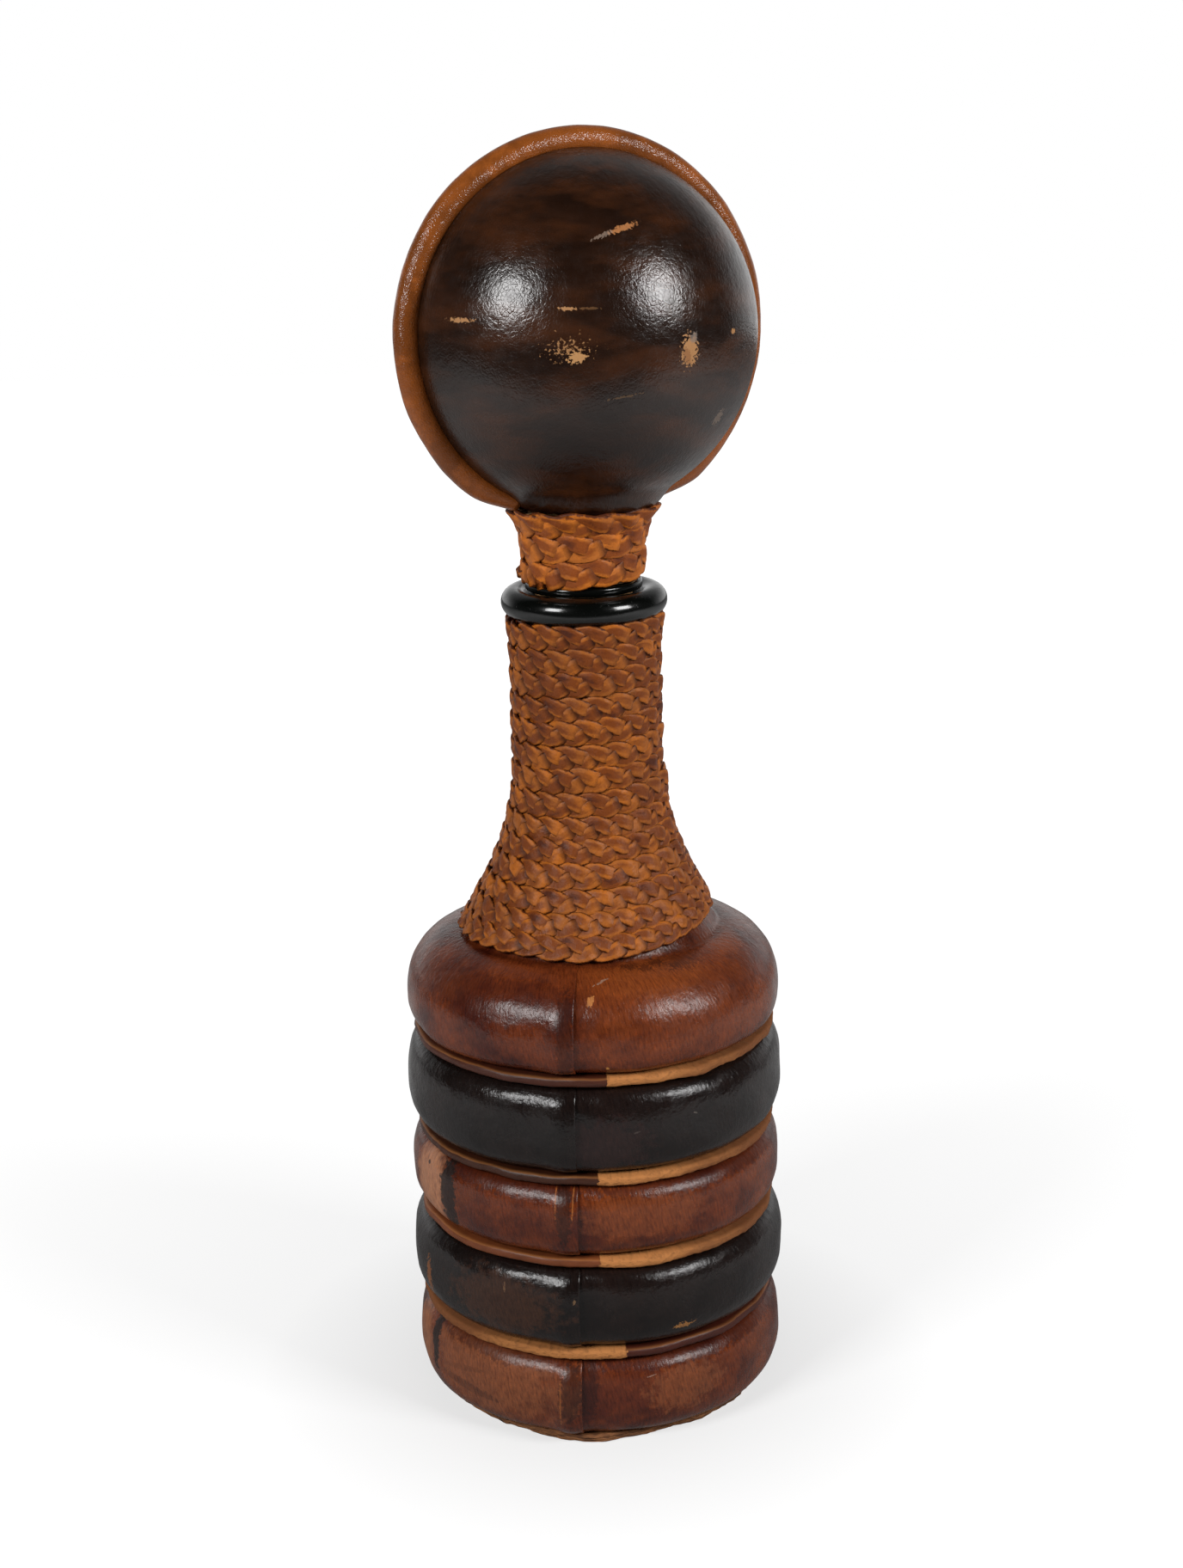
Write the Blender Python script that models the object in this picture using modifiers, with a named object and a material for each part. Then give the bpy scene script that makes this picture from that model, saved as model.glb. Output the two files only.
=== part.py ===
"""Leather-wrapped decanter: a glass bottle in padded leather bands, with a braided neck and a ball stopper.

Lengths are in metres. The origin is the centre of the sole's underside, +Z is up and -Y is the front.
The bottle stands inside five padded bands with a welt between each two. A flat braid is wound round the
neck, and the stopper is a leather-covered wooden ball on a braided stem, with a cork in the bottle's mouth.
"""
import math

import bmesh
import bpy
import numpy as np
from mathutils import Vector

# Clearances, and where the wrapped strips meet
SEAT_GAP = 0.0003            # left between two pieces that touch
MERGE_DISTANCE = 0.00001     # points of one turned piece closer than this are one point
SEAM_SLIT = 0.0005           # open width where a strip's two ends meet
SEAM_ANGLE = math.radians(262.5)   # a little left of the front
FULL_TURN = 2 * math.pi

# Facets
RING_STEPS = 24              # facets round the body and the ball
NECK_STEPS = 24              # facets round the small turned pieces
SECTION_POINTS = 7           # points along a band's bulge
POINTS_PER_LOOP = 24         # points along one loop of a braid

# Sole and board
SOLE_MARGIN = 0.0053         # how far the sole reaches past the glass
SOLE_THICKNESS = 0.0024
SOLE_EDGE = 0.0003           # bevel round the sole's rim
BOARD_THICKNESS = 0.0014

# Glass bottle
GLASS_RADIUS = 0.0450        # radius of its straight side
GLASS_WALL = 0.0034
GLASS_FLOOR = 0.0055
GLASS_HEEL = 0.0050          # rounding at the foot

# Bands, from the foot up, each measured from groove to groove
BAND_5_HEIGHT = 0.0300
BAND_4_HEIGHT = 0.0300
BAND_3_HEIGHT = 0.0266
BAND_2_HEIGHT = 0.0309
COVER_THICKNESS = 0.0014     # leather of the band covers
BROWN_DEPTH = 0.0123         # how far the brown bands stand out from the glass
BLACK_DEPTH = 0.0130
FLANGE_STANDOFF = 0.0025     # from the glass to the covers' turned edges
FLANGE_WIDTH = 0.0022        # the level part of each turned edge
BAND_SQUARENESS = 2.8        # 2 is a round bulge, more is squarer

# Shoulder, the highest band
SHOULDER_HEIGHT = 0.0309     # from the highest groove up to the braid's foot
SHOULDER_LOWER_PART = 0.0110 # from that groove up to the band's widest line
SHOULDER_TUCK = 0.0045       # its curve would turn level this far inside the braid's foot
SHOULDER_SQUARENESS = 2.35

# Welts
WELT_DEPTH = 0.0103          # how far they stand out from the glass
WELT_THICKNESS = 0.0034
WELT_ROUND = 0.0009          # bevel of a welt's outer edges

# The surface under the neck's braid: a shaft that flares out to the shoulder
SHAFT_RADIUS = 0.0197
NECK_LENGTH = 0.0960         # from the braid's foot up to the lip
FOOT_INSET = 0.0065          # the braid's foot lies this far inside the glass's side
FLARE_HEIGHT = 0.0535
FLARE_POWER = 2.0            # how fast the flare dies out
FLARE_STATIONS = 6
SWELL = 0.0009               # the shaft's growth under the lip
SWELL_HEIGHT = 0.0150
LINER_THICKNESS = 0.0013

# Lip of the bottle
LIP_BEAD = 0.0043            # radius of the bead's section
LIP_OVERHANG = 0.0050        # how far the lip stands out from the shaft
MOUTH_DEPTH = 0.0063         # how deep the mouth's rounding goes

# Braids
BRAID_TURNS = 13
STEM_TURNS = 2
BRAID_THICKNESS = 0.0026
BRAID_GAP = 0.0005           # between one loop and the next
BRAID_START = math.radians(200)    # the lowest loop starts at the left
BRAID_FLAT_SHARE = 0.5       # share of the strip's width that is flat

# Cork, collar and stem of the stopper
CORK_LENGTH = 0.0260
CORK_CHAMFER = 0.0010
COLLAR_LAP = 0.0027          # how far the collar reaches past the bore
COLLAR_THICKNESS = 0.0026
COLLAR_ROUND = 0.0008
PEG_RADIUS = 0.0060
PEG_DEPTH_IN_BALL = 0.0180
STEM_INSET = 0.0018          # the stem's foot lies this far inside the collar's rim
STEM_LENGTH = 0.0208
STEM_HEAD_FLARE = 0.0032     # the stem's growth under the ball
STEM_FLARE_POWER = 4.0
STEM_STATIONS = 5
SPIGOT_LEDGE = 0.0060        # how far the spigot stands out from the peg
SPIGOT_LENGTH = 0.0012       # the stem's top, which passes through the ball's leather

# Ball
BALL_OFFSET = 0.0012         # it sits a little to the right of the stem
BALL_TURN = math.radians(23.6)     # its seam faces this far to the right of the front
DOME_RADIUS = 0.0520
DOME_SETBACK = 0.0035        # how far each dome's centre lies behind the seam
DOME_THICKNESS = 0.0016
DOME_RINGS = 6
PIPING_STANDOFF = 0.0014     # from the domes' radius out to the piping's centre line
PIPING_RADIUS = 0.0040
PIPING_THICKNESS = 0.0012
PIPING_OPENING = math.radians(80)  # open part of the piping's section, toward the ball
PIPING_BREAK = math.radians(25)    # half the part of the ring that the stem takes
PIPING_POINTS = 7
WAIST_STEP = 0.0005          # how much the core's waist is sunk

# Radii that follow
SOLE_RADIUS = GLASS_RADIUS + SOLE_MARGIN
FLANGE_RADIUS = GLASS_RADIUS + FLANGE_STANDOFF
BOARD_RADIUS = FLANGE_RADIUS - SEAT_GAP
BROWN_RADIUS = GLASS_RADIUS + BROWN_DEPTH
BLACK_RADIUS = GLASS_RADIUS + BLACK_DEPTH
WELT_RADIUS = GLASS_RADIUS + WELT_DEPTH
FOOT_RADIUS = GLASS_RADIUS - FOOT_INSET
BORE_RADIUS = SHAFT_RADIUS - LINER_THICKNESS - SEAT_GAP - GLASS_WALL
CORK_RADIUS = BORE_RADIUS - SEAT_GAP
COLLAR_RADIUS = BORE_RADIUS + COLLAR_LAP
LIP_CENTRE_RADIUS = SHAFT_RADIUS + LIP_OVERHANG - LIP_BEAD
MOUTH_REACH = LIP_CENTRE_RADIUS - BORE_RADIUS
STEM_RADIUS = COLLAR_RADIUS - STEM_INSET
SPIGOT_RADIUS = PEG_RADIUS + SPIGOT_LEDGE
PIPING_REACH = DOME_RADIUS + PIPING_STANDOFF
CORE_RADIUS = DOME_RADIUS - DOME_THICKNESS - SEAT_GAP
CORE_WAIST = math.sqrt(CORE_RADIUS ** 2 - (PIPING_RADIUS + DOME_SETBACK) ** 2) - WAIST_STEP
COVER_INSET = COVER_THICKNESS + SEAT_GAP

# Heights that follow, from the foot up
BAND_BASE = SOLE_THICKNESS + SEAT_GAP
BOARD_TOP = BAND_BASE + BOARD_THICKNESS
GLASS_BASE = BOARD_TOP + SEAT_GAP
GROOVES = np.cumsum([BAND_5_HEIGHT, BAND_4_HEIGHT, BAND_3_HEIGHT, BAND_2_HEIGHT])
SHOULDER_EQUATOR = GROOVES[-1] + SHOULDER_LOWER_PART
FOOT_HEIGHT = GROOVES[-1] + SHOULDER_HEIGHT
NECK_TOP = FOOT_HEIGHT + NECK_LENGTH
LIP_HEIGHT = NECK_TOP + SEAT_GAP + LIP_BEAD
LIP_TOP = LIP_HEIGHT + LIP_BEAD
COLLAR_SLOPE_SHARE = (LIP_CENTRE_RADIUS - COLLAR_RADIUS) / MOUTH_REACH
COLLAR_BASE = LIP_TOP - MOUTH_DEPTH * (1 - math.sqrt(1 - COLLAR_SLOPE_SHARE ** 2)) + SEAT_GAP
CORK_TOP = COLLAR_BASE - SEAT_GAP
CORK_BASE = CORK_TOP - CORK_LENGTH
STEM_BASE = COLLAR_BASE + COLLAR_THICKNESS + SEAT_GAP
STEM_TOP = STEM_BASE + STEM_LENGTH
SPIGOT_TOP = STEM_TOP + SPIGOT_LENGTH
PEG_TOP = SPIGOT_TOP + PEG_DEPTH_IN_BALL
BALL_HEIGHT = SPIGOT_TOP + SEAT_GAP + CORE_WAIST

FINISHES = {}


# Scene, collections and materials
def clear_scene():
    for old in list(bpy.data.objects):
        bpy.data.objects.remove(old, do_unlink=True)


def new_collection(name):
    made = bpy.data.collections.new(name)
    bpy.context.scene.collection.children.link(made)


def new_material(name, colour, roughness):
    made = bpy.data.materials.new(name)
    made.use_nodes = True
    shader = made.node_tree.nodes["Principled BSDF"]
    shader.inputs["Base Color"].default_value = (*colour, 1.0)
    shader.inputs["Roughness"].default_value = roughness
    return made


def make_finishes():
    FINISHES.update({
        "sole": new_material("sole leather", (0.23, 0.10, 0.035), 0.85),
        "board": new_material("fibre board", (0.25, 0.16, 0.09), 0.9),
        "brown": new_material("brown leather", (0.095, 0.024, 0.009), 0.35),
        "black": new_material("black leather", (0.012, 0.008, 0.007), 0.3),
        "ball": new_material("dark leather", (0.020, 0.011, 0.007), 0.3),
        "tan": new_material("tan braid leather", (0.27, 0.085, 0.018), 0.5),
        "piping": new_material("piping leather", (0.20, 0.055, 0.014), 0.4),
        "welt": new_material("welt leather", (0.16, 0.055, 0.02), 0.6),
        "pad": new_material("padding felt", (0.45, 0.40, 0.32), 0.95),
        "cord": new_material("filler cord", (0.55, 0.48, 0.36), 0.95),
        "cork": new_material("cork", (0.40, 0.22, 0.10), 0.9),
        "wood": new_material("beech wood", (0.42, 0.25, 0.12), 0.6),
        "glass": new_material("dark green glass", (0.010, 0.030, 0.018), 0.05),
    })


def add_part(made, finish):
    made.data.materials.append(FINISHES[finish])
    bpy.data.collections["leather_decanter"].objects.link(made)
    return made


def add_guide(made):
    """Keeps a cutter or a section out of the model."""
    made.hide_render = True
    made.display_type = "WIRE"
    bpy.data.collections["cutters"].objects.link(made)
    return made


# Profiles: lists of (radius, height)
def bulge(centre, reach, squareness, start, end, count):
    """A squared-off arc about centre, whose reach is (across, up), from one angle in degrees to another."""
    points = []
    for angle in np.linspace(math.radians(start), math.radians(end), count):
        across = math.copysign(abs(math.cos(angle)) ** (2 / squareness), math.cos(angle))
        up = math.copysign(abs(math.sin(angle)) ** (2 / squareness), math.sin(angle))
        points.append((centre[0] + reach[0] * across, centre[1] + reach[1] * up))
    return points


def arc(centre, radius, start, end, count):
    return bulge(centre, (radius, radius), 2, start, end, count)


def offset(profile, distance):
    """The profile moved to the left of its own direction, each chord by the same distance."""
    line = np.array(profile)
    chords = np.diff(line, axis=0)
    chords /= np.linalg.norm(chords, axis=1)[:, None]
    left = np.column_stack([-chords[:, 1], chords[:, 0]])
    before = np.vstack([left[:1], left])
    after = np.vstack([left, left[-1:]])
    mitre = 2 * (before + after) / np.sum((before + after) ** 2, axis=1)[:, None]
    return [tuple(point) for point in line + mitre * distance]


def shaft_radius_at(height):
    """Radius of the surface that the neck's braid lies on."""
    below = max(0.0, 1 - (height - FOOT_HEIGHT) / FLARE_HEIGHT)
    above = max(0.0, 1 - (NECK_TOP - height) / SWELL_HEIGHT)
    return SHAFT_RADIUS + (FOOT_RADIUS - SHAFT_RADIUS) * below ** FLARE_POWER + SWELL * above ** 2


def shaft_profile():
    """The neck's surface from its foot up."""
    heights = list(np.linspace(FOOT_HEIGHT, FOOT_HEIGHT + FLARE_HEIGHT, FLARE_STATIONS + 1))
    heights += list(np.linspace(NECK_TOP - SWELL_HEIGHT, NECK_TOP, 3))
    return [(shaft_radius_at(height), height) for height in heights]


def stem_radius_at(height):
    """Radius of the surface that the stem's braid lies on."""
    share = max(0.0, (height - STEM_BASE) / STEM_LENGTH)
    return STEM_RADIUS + STEM_HEAD_FLARE * share ** STEM_FLARE_POWER


# Turned solids
def turned(name, profile, finish, closed=False, wall=0.0, steps=RING_STEPS, start=0.0, sweep=FULL_TURN):
    """A profile turned about Z, as a solid, or as a shell where it has a wall."""
    mesh = bpy.data.meshes.new(name)
    points = [(r * math.cos(start), r * math.sin(start), z) for r, z in profile]
    edges = [(i, i + 1) for i in range(len(points) - 1)]
    if closed:
        edges.append((len(points) - 1, 0))
    mesh.from_pydata(points, edges, [])
    made = bpy.data.objects.new(name, mesh)
    screw = made.modifiers.new("Turn", "SCREW")
    screw.axis = "Z"
    screw.angle = sweep
    screw.steps = steps
    screw.render_steps = steps
    screw.use_merge_vertices = True
    screw.merge_threshold = MERGE_DISTANCE
    screw.use_smooth_shade = True
    if wall:
        shell = made.modifiers.new("Wall", "SOLIDIFY")
        shell.thickness = wall
        shell.offset = -1
        shell.use_even_offset = True
    return add_part(made, finish)


def wrapped(name, profile, finish, radius):
    """A leather strip wrapped round the body, whose ends meet at the seam."""
    slit = SEAM_SLIT / radius
    return turned(name, profile, finish, wall=COVER_THICKNESS, start=SEAM_ANGLE + slit / 2,
                  sweep=FULL_TURN - slit)


def cutter(name, radius, low, high):
    """An upright cylinder on the neck's axis, for a hole."""
    mesh = bpy.data.meshes.new(name)
    shape = bmesh.new()
    bmesh.ops.create_cone(shape, cap_ends=True, segments=NECK_STEPS, radius1=radius, radius2=radius,
                          depth=high - low)
    shape.to_mesh(mesh)
    shape.free()
    made = bpy.data.objects.new(name, mesh)
    made.location = (0, 0, (low + high) / 2)
    return add_guide(made)


def cut(target, tool):
    boolean = target.modifiers.new("Cut", "BOOLEAN")
    boolean.operation = "DIFFERENCE"
    boolean.solver = "EXACT"
    boolean.object = tool


# Base
def base_sole():
    inner = SOLE_RADIUS - SOLE_EDGE
    profile = [(0, SOLE_THICKNESS), (inner, SOLE_THICKNESS), (SOLE_RADIUS, SOLE_THICKNESS - SOLE_EDGE),
               (SOLE_RADIUS, SOLE_EDGE), (inner, 0), (0, 0)]
    turned("base_sole", profile, "sole", start=SEAM_ANGLE)


def base_board():
    """Lies on the sole, inside the lowest cover's turned edge, and carries the glass."""
    profile = [(0, BOARD_TOP), (BOARD_RADIUS, BOARD_TOP), (BOARD_RADIUS, BAND_BASE), (0, BAND_BASE)]
    turned("base_board", profile, "board", start=SEAM_ANGLE)


# Bands, pads and welts
def lower_bands():
    """The four lower bands, from the foot up, each with its padding."""
    low = BAND_BASE
    for index, groove in enumerate(GROOVES):
        number = len(GROOVES) + 1 - index
        high = groove - WELT_THICKNESS / 2 - SEAT_GAP
        radius, finish = (BLACK_RADIUS, "black") if index % 2 else (BROWN_RADIUS, "brown")
        centre = (FLANGE_RADIUS + FLANGE_WIDTH, (low + high) / 2)
        reach = (radius - centre[0], (high - low) / 2)
        curve = bulge(centre, reach, BAND_SQUARENESS, 90, -90, SECTION_POINTS)
        profile = [(FLANGE_RADIUS, high)] + curve + [(FLANGE_RADIUS, low)]
        wrapped("band_cover_%d" % number, profile, finish, radius)
        band_pad(number, profile, GLASS_RADIUS + SEAT_GAP if index else FLANGE_RADIUS)
        low = groove + WELT_THICKNESS / 2 + SEAT_GAP


def band_pad(number, cover, inner):
    """The padding that fills a cover. The lowest stays clear of the board, the others reach the glass."""
    filled = offset(cover, -COVER_INSET)
    profile = [(inner, filled[0][1])] + filled[1:-1] + [(inner, filled[-1][1])]
    turned("band_pad_%d" % number, profile, "pad", closed=True, start=SEAM_ANGLE)


def shoulder_lines():
    """The highest band's profile, from its top edge under the braid down to its turned lower edge."""
    low = GROOVES[-1] + WELT_THICKNESS / 2 + SEAT_GAP
    centre = (FOOT_RADIUS - SHOULDER_TUCK, SHOULDER_EQUATOR)
    reach = (BROWN_RADIUS - centre[0], FOOT_HEIGHT - SEAT_GAP - SHOULDER_EQUATOR)
    edge_share = (SHOULDER_TUCK + SEAT_GAP) / reach[0]
    edge_angle = math.degrees(math.acos(edge_share ** (SHOULDER_SQUARENESS / 2)))
    upper = bulge(centre, reach, SHOULDER_SQUARENESS, edge_angle, 0, SECTION_POINTS)
    below = (FLANGE_RADIUS + FLANGE_WIDTH, SHOULDER_EQUATOR)
    drop = (BROWN_RADIUS - below[0], SHOULDER_EQUATOR - low)
    lower = bulge(below, drop, BAND_SQUARENESS, 0, -90, SECTION_POINTS // 2 + 1)
    return upper + lower[1:] + [(FLANGE_RADIUS, low)]


def shoulder_cover():
    wrapped("shoulder_cover", shoulder_lines(), "brown", BROWN_RADIUS)


def shoulder_pad():
    """Fills the shoulder between its leather and the glass."""
    outer = offset(shoulder_lines(), -COVER_INSET)[:-1]
    glass = offset(glass_outline(), SEAT_GAP)
    inner = [point for point in glass if outer[-1][1] < point[1] < outer[0][1]]
    foot = (GLASS_RADIUS + SEAT_GAP, outer[-1][1])
    turned("shoulder_pad", outer + [foot] + inner[::-1], "pad", closed=True, start=SEAM_ANGLE)


def welts():
    inner = GLASS_RADIUS + SEAT_GAP
    edge = WELT_RADIUS - WELT_ROUND
    for index, groove in enumerate(GROOVES):
        top = groove + WELT_THICKNESS / 2
        low = groove - WELT_THICKNESS / 2
        profile = [(inner, top), (edge, top), (WELT_RADIUS, top - WELT_ROUND), (WELT_RADIUS, low + WELT_ROUND),
                   (edge, low), (inner, low)]
        turned("welt_%d" % (len(GROOVES) - index), profile, "welt", closed=True, start=SEAM_ANGLE)


# Bottle
def glass_outline():
    """The bottle's outside from under the lip down to its straight side, which an arc joins to the neck."""
    neck = offset(shaft_profile(), LINER_THICKNESS + SEAT_GAP)
    foot = neck[0]
    lean = math.atan((foot[0] - neck[1][0]) / (neck[1][1] - foot[1]))
    radius = (GLASS_RADIUS - foot[0]) / (1 - math.cos(lean))
    centre = (GLASS_RADIUS - radius, foot[1] - radius * math.sin(lean))
    return neck[::-1][:-1] + arc(centre, radius, math.degrees(lean), 0, 4)


def glass_bottle():
    """One turned shell: up the inside, over the lip and down the outside."""
    outline = glass_outline()
    floor = GLASS_BASE + GLASS_FLOOR
    inner_radius = GLASS_RADIUS - GLASS_WALL
    inner_heel = arc((inner_radius - GLASS_HEEL, floor + GLASS_HEEL), GLASS_HEEL, -90, 0, 3)
    mouth_centre = (LIP_CENTRE_RADIUS, LIP_TOP - MOUTH_DEPTH)
    mouth = bulge(mouth_centre, (MOUTH_REACH, MOUTH_DEPTH), 2, 180, 90, 4)
    bead = arc((LIP_CENTRE_RADIUS, LIP_HEIGHT), LIP_BEAD, 90, -90, 5)
    heel = arc((GLASS_RADIUS - GLASS_HEEL, GLASS_BASE + GLASS_HEEL), GLASS_HEEL, 0, -90, 3)
    inside = [(0, floor)] + inner_heel + offset(outline, -GLASS_WALL)[::-1]
    outside = bead[1:] + outline + heel + [(0, GLASS_BASE)]
    turned("glass_bottle", inside + mouth + outside, "glass", start=SEAM_ANGLE)


def neck_liner():
    turned("neck_liner", shaft_profile()[::-1], "brown", wall=LINER_THICKNESS, start=SEAM_ANGLE)


# Braids
def braid(name, surface, turns, finish):
    """A flat strip wound up a turned surface as one unbroken tube, with a gap between its loops."""
    line = np.array(offset(surface, -(SEAT_GAP + BRAID_THICKNESS / 2)))
    run = np.concatenate([[0], np.cumsum(np.hypot(*np.diff(line, axis=0).T))])
    pitch = (run[-1] + BRAID_GAP - 2 * SEAT_GAP) / (turns + 1)
    width = pitch - BRAID_GAP
    turn = np.arange(turns * POINTS_PER_LOOP + 1) / POINTS_PER_LOOP
    along = SEAT_GAP + width / 2 + pitch * turn
    slope = np.gradient(line, run, axis=0)
    radius = np.interp(along, run, line[:, 0]) / math.cos(math.pi / POINTS_PER_LOOP)
    angle = BRAID_START + FULL_TURN * turn
    centres = np.column_stack([radius * np.cos(angle), radius * np.sin(angle),
                               np.interp(along, run, line[:, 1])])
    lean = np.arctan2(np.interp(along, run, slope[:, 0]), np.interp(along, run, slope[:, 1]))
    print_least_gap(name, centres, lean, width)
    shape = bpy.data.curves.new(name, "CURVE")
    shape.dimensions = "3D"
    shape.twist_mode = "Z_UP"
    shape.bevel_mode = "OBJECT"
    shape.bevel_object = braid_section(name + "_section", width)
    shape.use_fill_caps = True
    spline = shape.splines.new("POLY")
    centres = straight_ends(centres)
    lean = np.concatenate([lean[:1], lean, lean[-1:]])
    spline.points.add(len(centres) - 1)
    for point, centre, tilt in zip(spline.points, centres, lean):
        point.co = (*centre, 1)
        point.tilt = tilt
    return add_part(bpy.data.objects.new(name, shape), finish)


def straight_ends(centres):
    """Runs both ends on straight, for one thickness of the strip."""
    first = Vector(centres[0] - centres[1]).normalized() * BRAID_THICKNESS
    last = Vector(centres[-1] - centres[-2]).normalized() * BRAID_THICKNESS
    return np.vstack([centres[0] + np.array(first), centres, centres[-1] + np.array(last)])


def print_least_gap(name, centres, lean, width):
    """Measures the least gap from one loop to the next, on points along the strip's two edges."""
    angle = np.arctan2(centres[:, 1], centres[:, 0])
    across = np.column_stack([np.sin(lean) * np.cos(angle), np.sin(lean) * np.sin(angle), np.cos(lean)])
    upper = centres + across * width / 2
    lower = centres - across * width / 2
    half_loop = POINTS_PER_LOOP // 2
    least = math.inf
    for index in range(len(centres) - half_loop):
        away = np.linalg.norm(lower[index + half_loop:] - upper[index], axis=1)
        least = min(least, away.min())
    print(name, "least gap to itself:", round(least * 1000, 2), "mm")


def braid_section(name, width):
    """The strip's section, a flattened hexagon that is wide along Y."""
    half = BRAID_THICKNESS / 2
    flat = width * BRAID_FLAT_SHARE / 2
    corners = [(0, width / 2), (half, flat), (half, -flat), (0, -width / 2), (-half, -flat), (-half, flat)]
    shape = bpy.data.curves.new(name, "CURVE")
    shape.dimensions = "2D"
    shape.fill_mode = "NONE"
    spline = shape.splines.new("POLY")
    spline.points.add(len(corners) - 1)
    for point, (x, y) in zip(spline.points, corners):
        point.co = (x, y, 0, 1)
    spline.use_cyclic_u = True
    return add_guide(bpy.data.objects.new(name, shape))


def neck_braid():
    heights = np.linspace(FOOT_HEIGHT, NECK_TOP, 200)
    braid("neck_braid", [(shaft_radius_at(height), height) for height in heights], BRAID_TURNS, "tan")


def stem_braid():
    heights = np.linspace(STEM_BASE, STEM_TOP, 60)
    braid("stem_braid", [(stem_radius_at(height), height) for height in heights], STEM_TURNS, "tan")


# Stopper
def cork_sleeve():
    inner = PEG_RADIUS + SEAT_GAP
    profile = [(inner, CORK_TOP), (CORK_RADIUS, CORK_TOP), (CORK_RADIUS, CORK_BASE + CORK_CHAMFER),
               (CORK_RADIUS - CORK_CHAMFER, CORK_BASE), (inner, CORK_BASE)]
    turned("cork_sleeve", profile, "cork", closed=True, steps=NECK_STEPS)


def stopper_collar():
    top = COLLAR_BASE + COLLAR_THICKNESS
    inner = PEG_RADIUS + SEAT_GAP
    edge = COLLAR_RADIUS - COLLAR_ROUND
    profile = [(inner, top), (edge, top), (COLLAR_RADIUS, top - COLLAR_ROUND),
               (COLLAR_RADIUS, COLLAR_BASE + COLLAR_ROUND), (edge, COLLAR_BASE), (inner, COLLAR_BASE)]
    turned("stopper_collar", profile, "glass", closed=True, steps=NECK_STEPS)


def stem_core():
    """The turned wooden stem: a peg through cork and collar, the flared stem and a spigot into the ball."""
    heights = np.linspace(STEM_TOP, STEM_BASE, STEM_STATIONS)
    upper = [(0, PEG_TOP), (PEG_RADIUS, PEG_TOP), (PEG_RADIUS, SPIGOT_TOP), (SPIGOT_RADIUS, SPIGOT_TOP),
             (SPIGOT_RADIUS, STEM_TOP)]
    flare = [(stem_radius_at(height), height) for height in heights]
    lower = [(PEG_RADIUS, STEM_BASE), (PEG_RADIUS, CORK_BASE), (0, CORK_BASE)]
    turned("stem_core", upper + flare + lower, "wood", steps=NECK_STEPS)


def set_on_ball(made):
    """Puts a piece whose own Z is the normal of the ball's seam at the ball's centre."""
    made.location = (BALL_OFFSET, 0, BALL_HEIGHT)
    made.rotation_euler = (math.radians(90), 0, BALL_TURN)
    return made


def dome_profile(radius):
    """A dome's profile about the seam's normal, from its pole down to the piping."""
    low = math.degrees(math.asin((PIPING_RADIUS + DOME_SETBACK) / radius))
    return arc((0, -DOME_SETBACK), radius, 90, low, DOME_RINGS)


def ball_core():
    """The wooden ball, with a sunk waist where the piping lies and a hole for the peg."""
    cap = dome_profile(CORE_RADIUS)
    waist = [(CORE_WAIST, PIPING_RADIUS), (CORE_WAIST, -PIPING_RADIUS)]
    mirrored = [(radius, -height) for radius, height in cap[::-1]]
    core = set_on_ball(turned("ball_core", cap + waist + mirrored, "wood"))
    cut(core, cutter("peg_hole", PEG_RADIUS + SEAT_GAP, STEM_BASE, PEG_TOP + SEAT_GAP))


def domes():
    """The front and back leather halves, cut out at the foot for the stem."""
    hole = cutter("spigot_hole", SPIGOT_RADIUS + SEAT_GAP, STEM_BASE, SPIGOT_TOP + SPIGOT_RADIUS)
    profile = dome_profile(DOME_RADIUS)
    front = set_on_ball(turned("front_dome", profile, "ball", wall=DOME_THICKNESS))
    back = set_on_ball(turned("back_dome", profile, "ball", wall=DOME_THICKNESS))
    back.rotation_euler.x = math.radians(-90)
    cut(front, hole)
    cut(back, hole)


def rim_piping():
    """The leather rolled round the cord on the ball's seam, broken at the foot where the stem is."""
    half = math.degrees(math.pi - PIPING_OPENING / 2)
    profile = arc((PIPING_REACH, 0), PIPING_RADIUS, half, -half, PIPING_POINTS)
    made = turned("rim_piping", profile, "piping", wall=PIPING_THICKNESS, start=PIPING_BREAK - math.pi / 2,
                  sweep=FULL_TURN - 2 * PIPING_BREAK)
    set_on_ball(made)


def rim_cord():
    """The filler cord inside the piping, as thick as the piping's facets leave."""
    facet = (FULL_TURN - PIPING_OPENING) / (PIPING_POINTS - 1)
    shape = bpy.data.curves.new("rim_cord", "CURVE")
    shape.dimensions = "3D"
    shape.bevel_depth = PIPING_RADIUS * math.cos(facet / 2) - PIPING_THICKNESS - SEAT_GAP
    shape.bevel_resolution = 1
    shape.use_fill_caps = True
    spline = shape.splines.new("POLY")
    spline.points.add(RING_STEPS)
    angles = np.linspace(PIPING_BREAK - math.pi / 2, 3 * math.pi / 2 - PIPING_BREAK, RING_STEPS + 1)
    for point, angle in zip(spline.points, angles):
        point.co = (PIPING_REACH * math.cos(angle), PIPING_REACH * math.sin(angle), 0, 1)
    set_on_ball(add_part(bpy.data.objects.new("rim_cord", shape), "cord"))


def main():
    clear_scene()
    new_collection("leather_decanter")
    new_collection("cutters")
    make_finishes()
    base_sole()
    base_board()
    lower_bands()
    shoulder_cover()
    shoulder_pad()
    welts()
    glass_bottle()
    neck_liner()
    neck_braid()
    cork_sleeve()
    stopper_collar()
    stem_core()
    stem_braid()
    ball_core()
    domes()
    rim_piping()
    rim_cord()


main()
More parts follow.
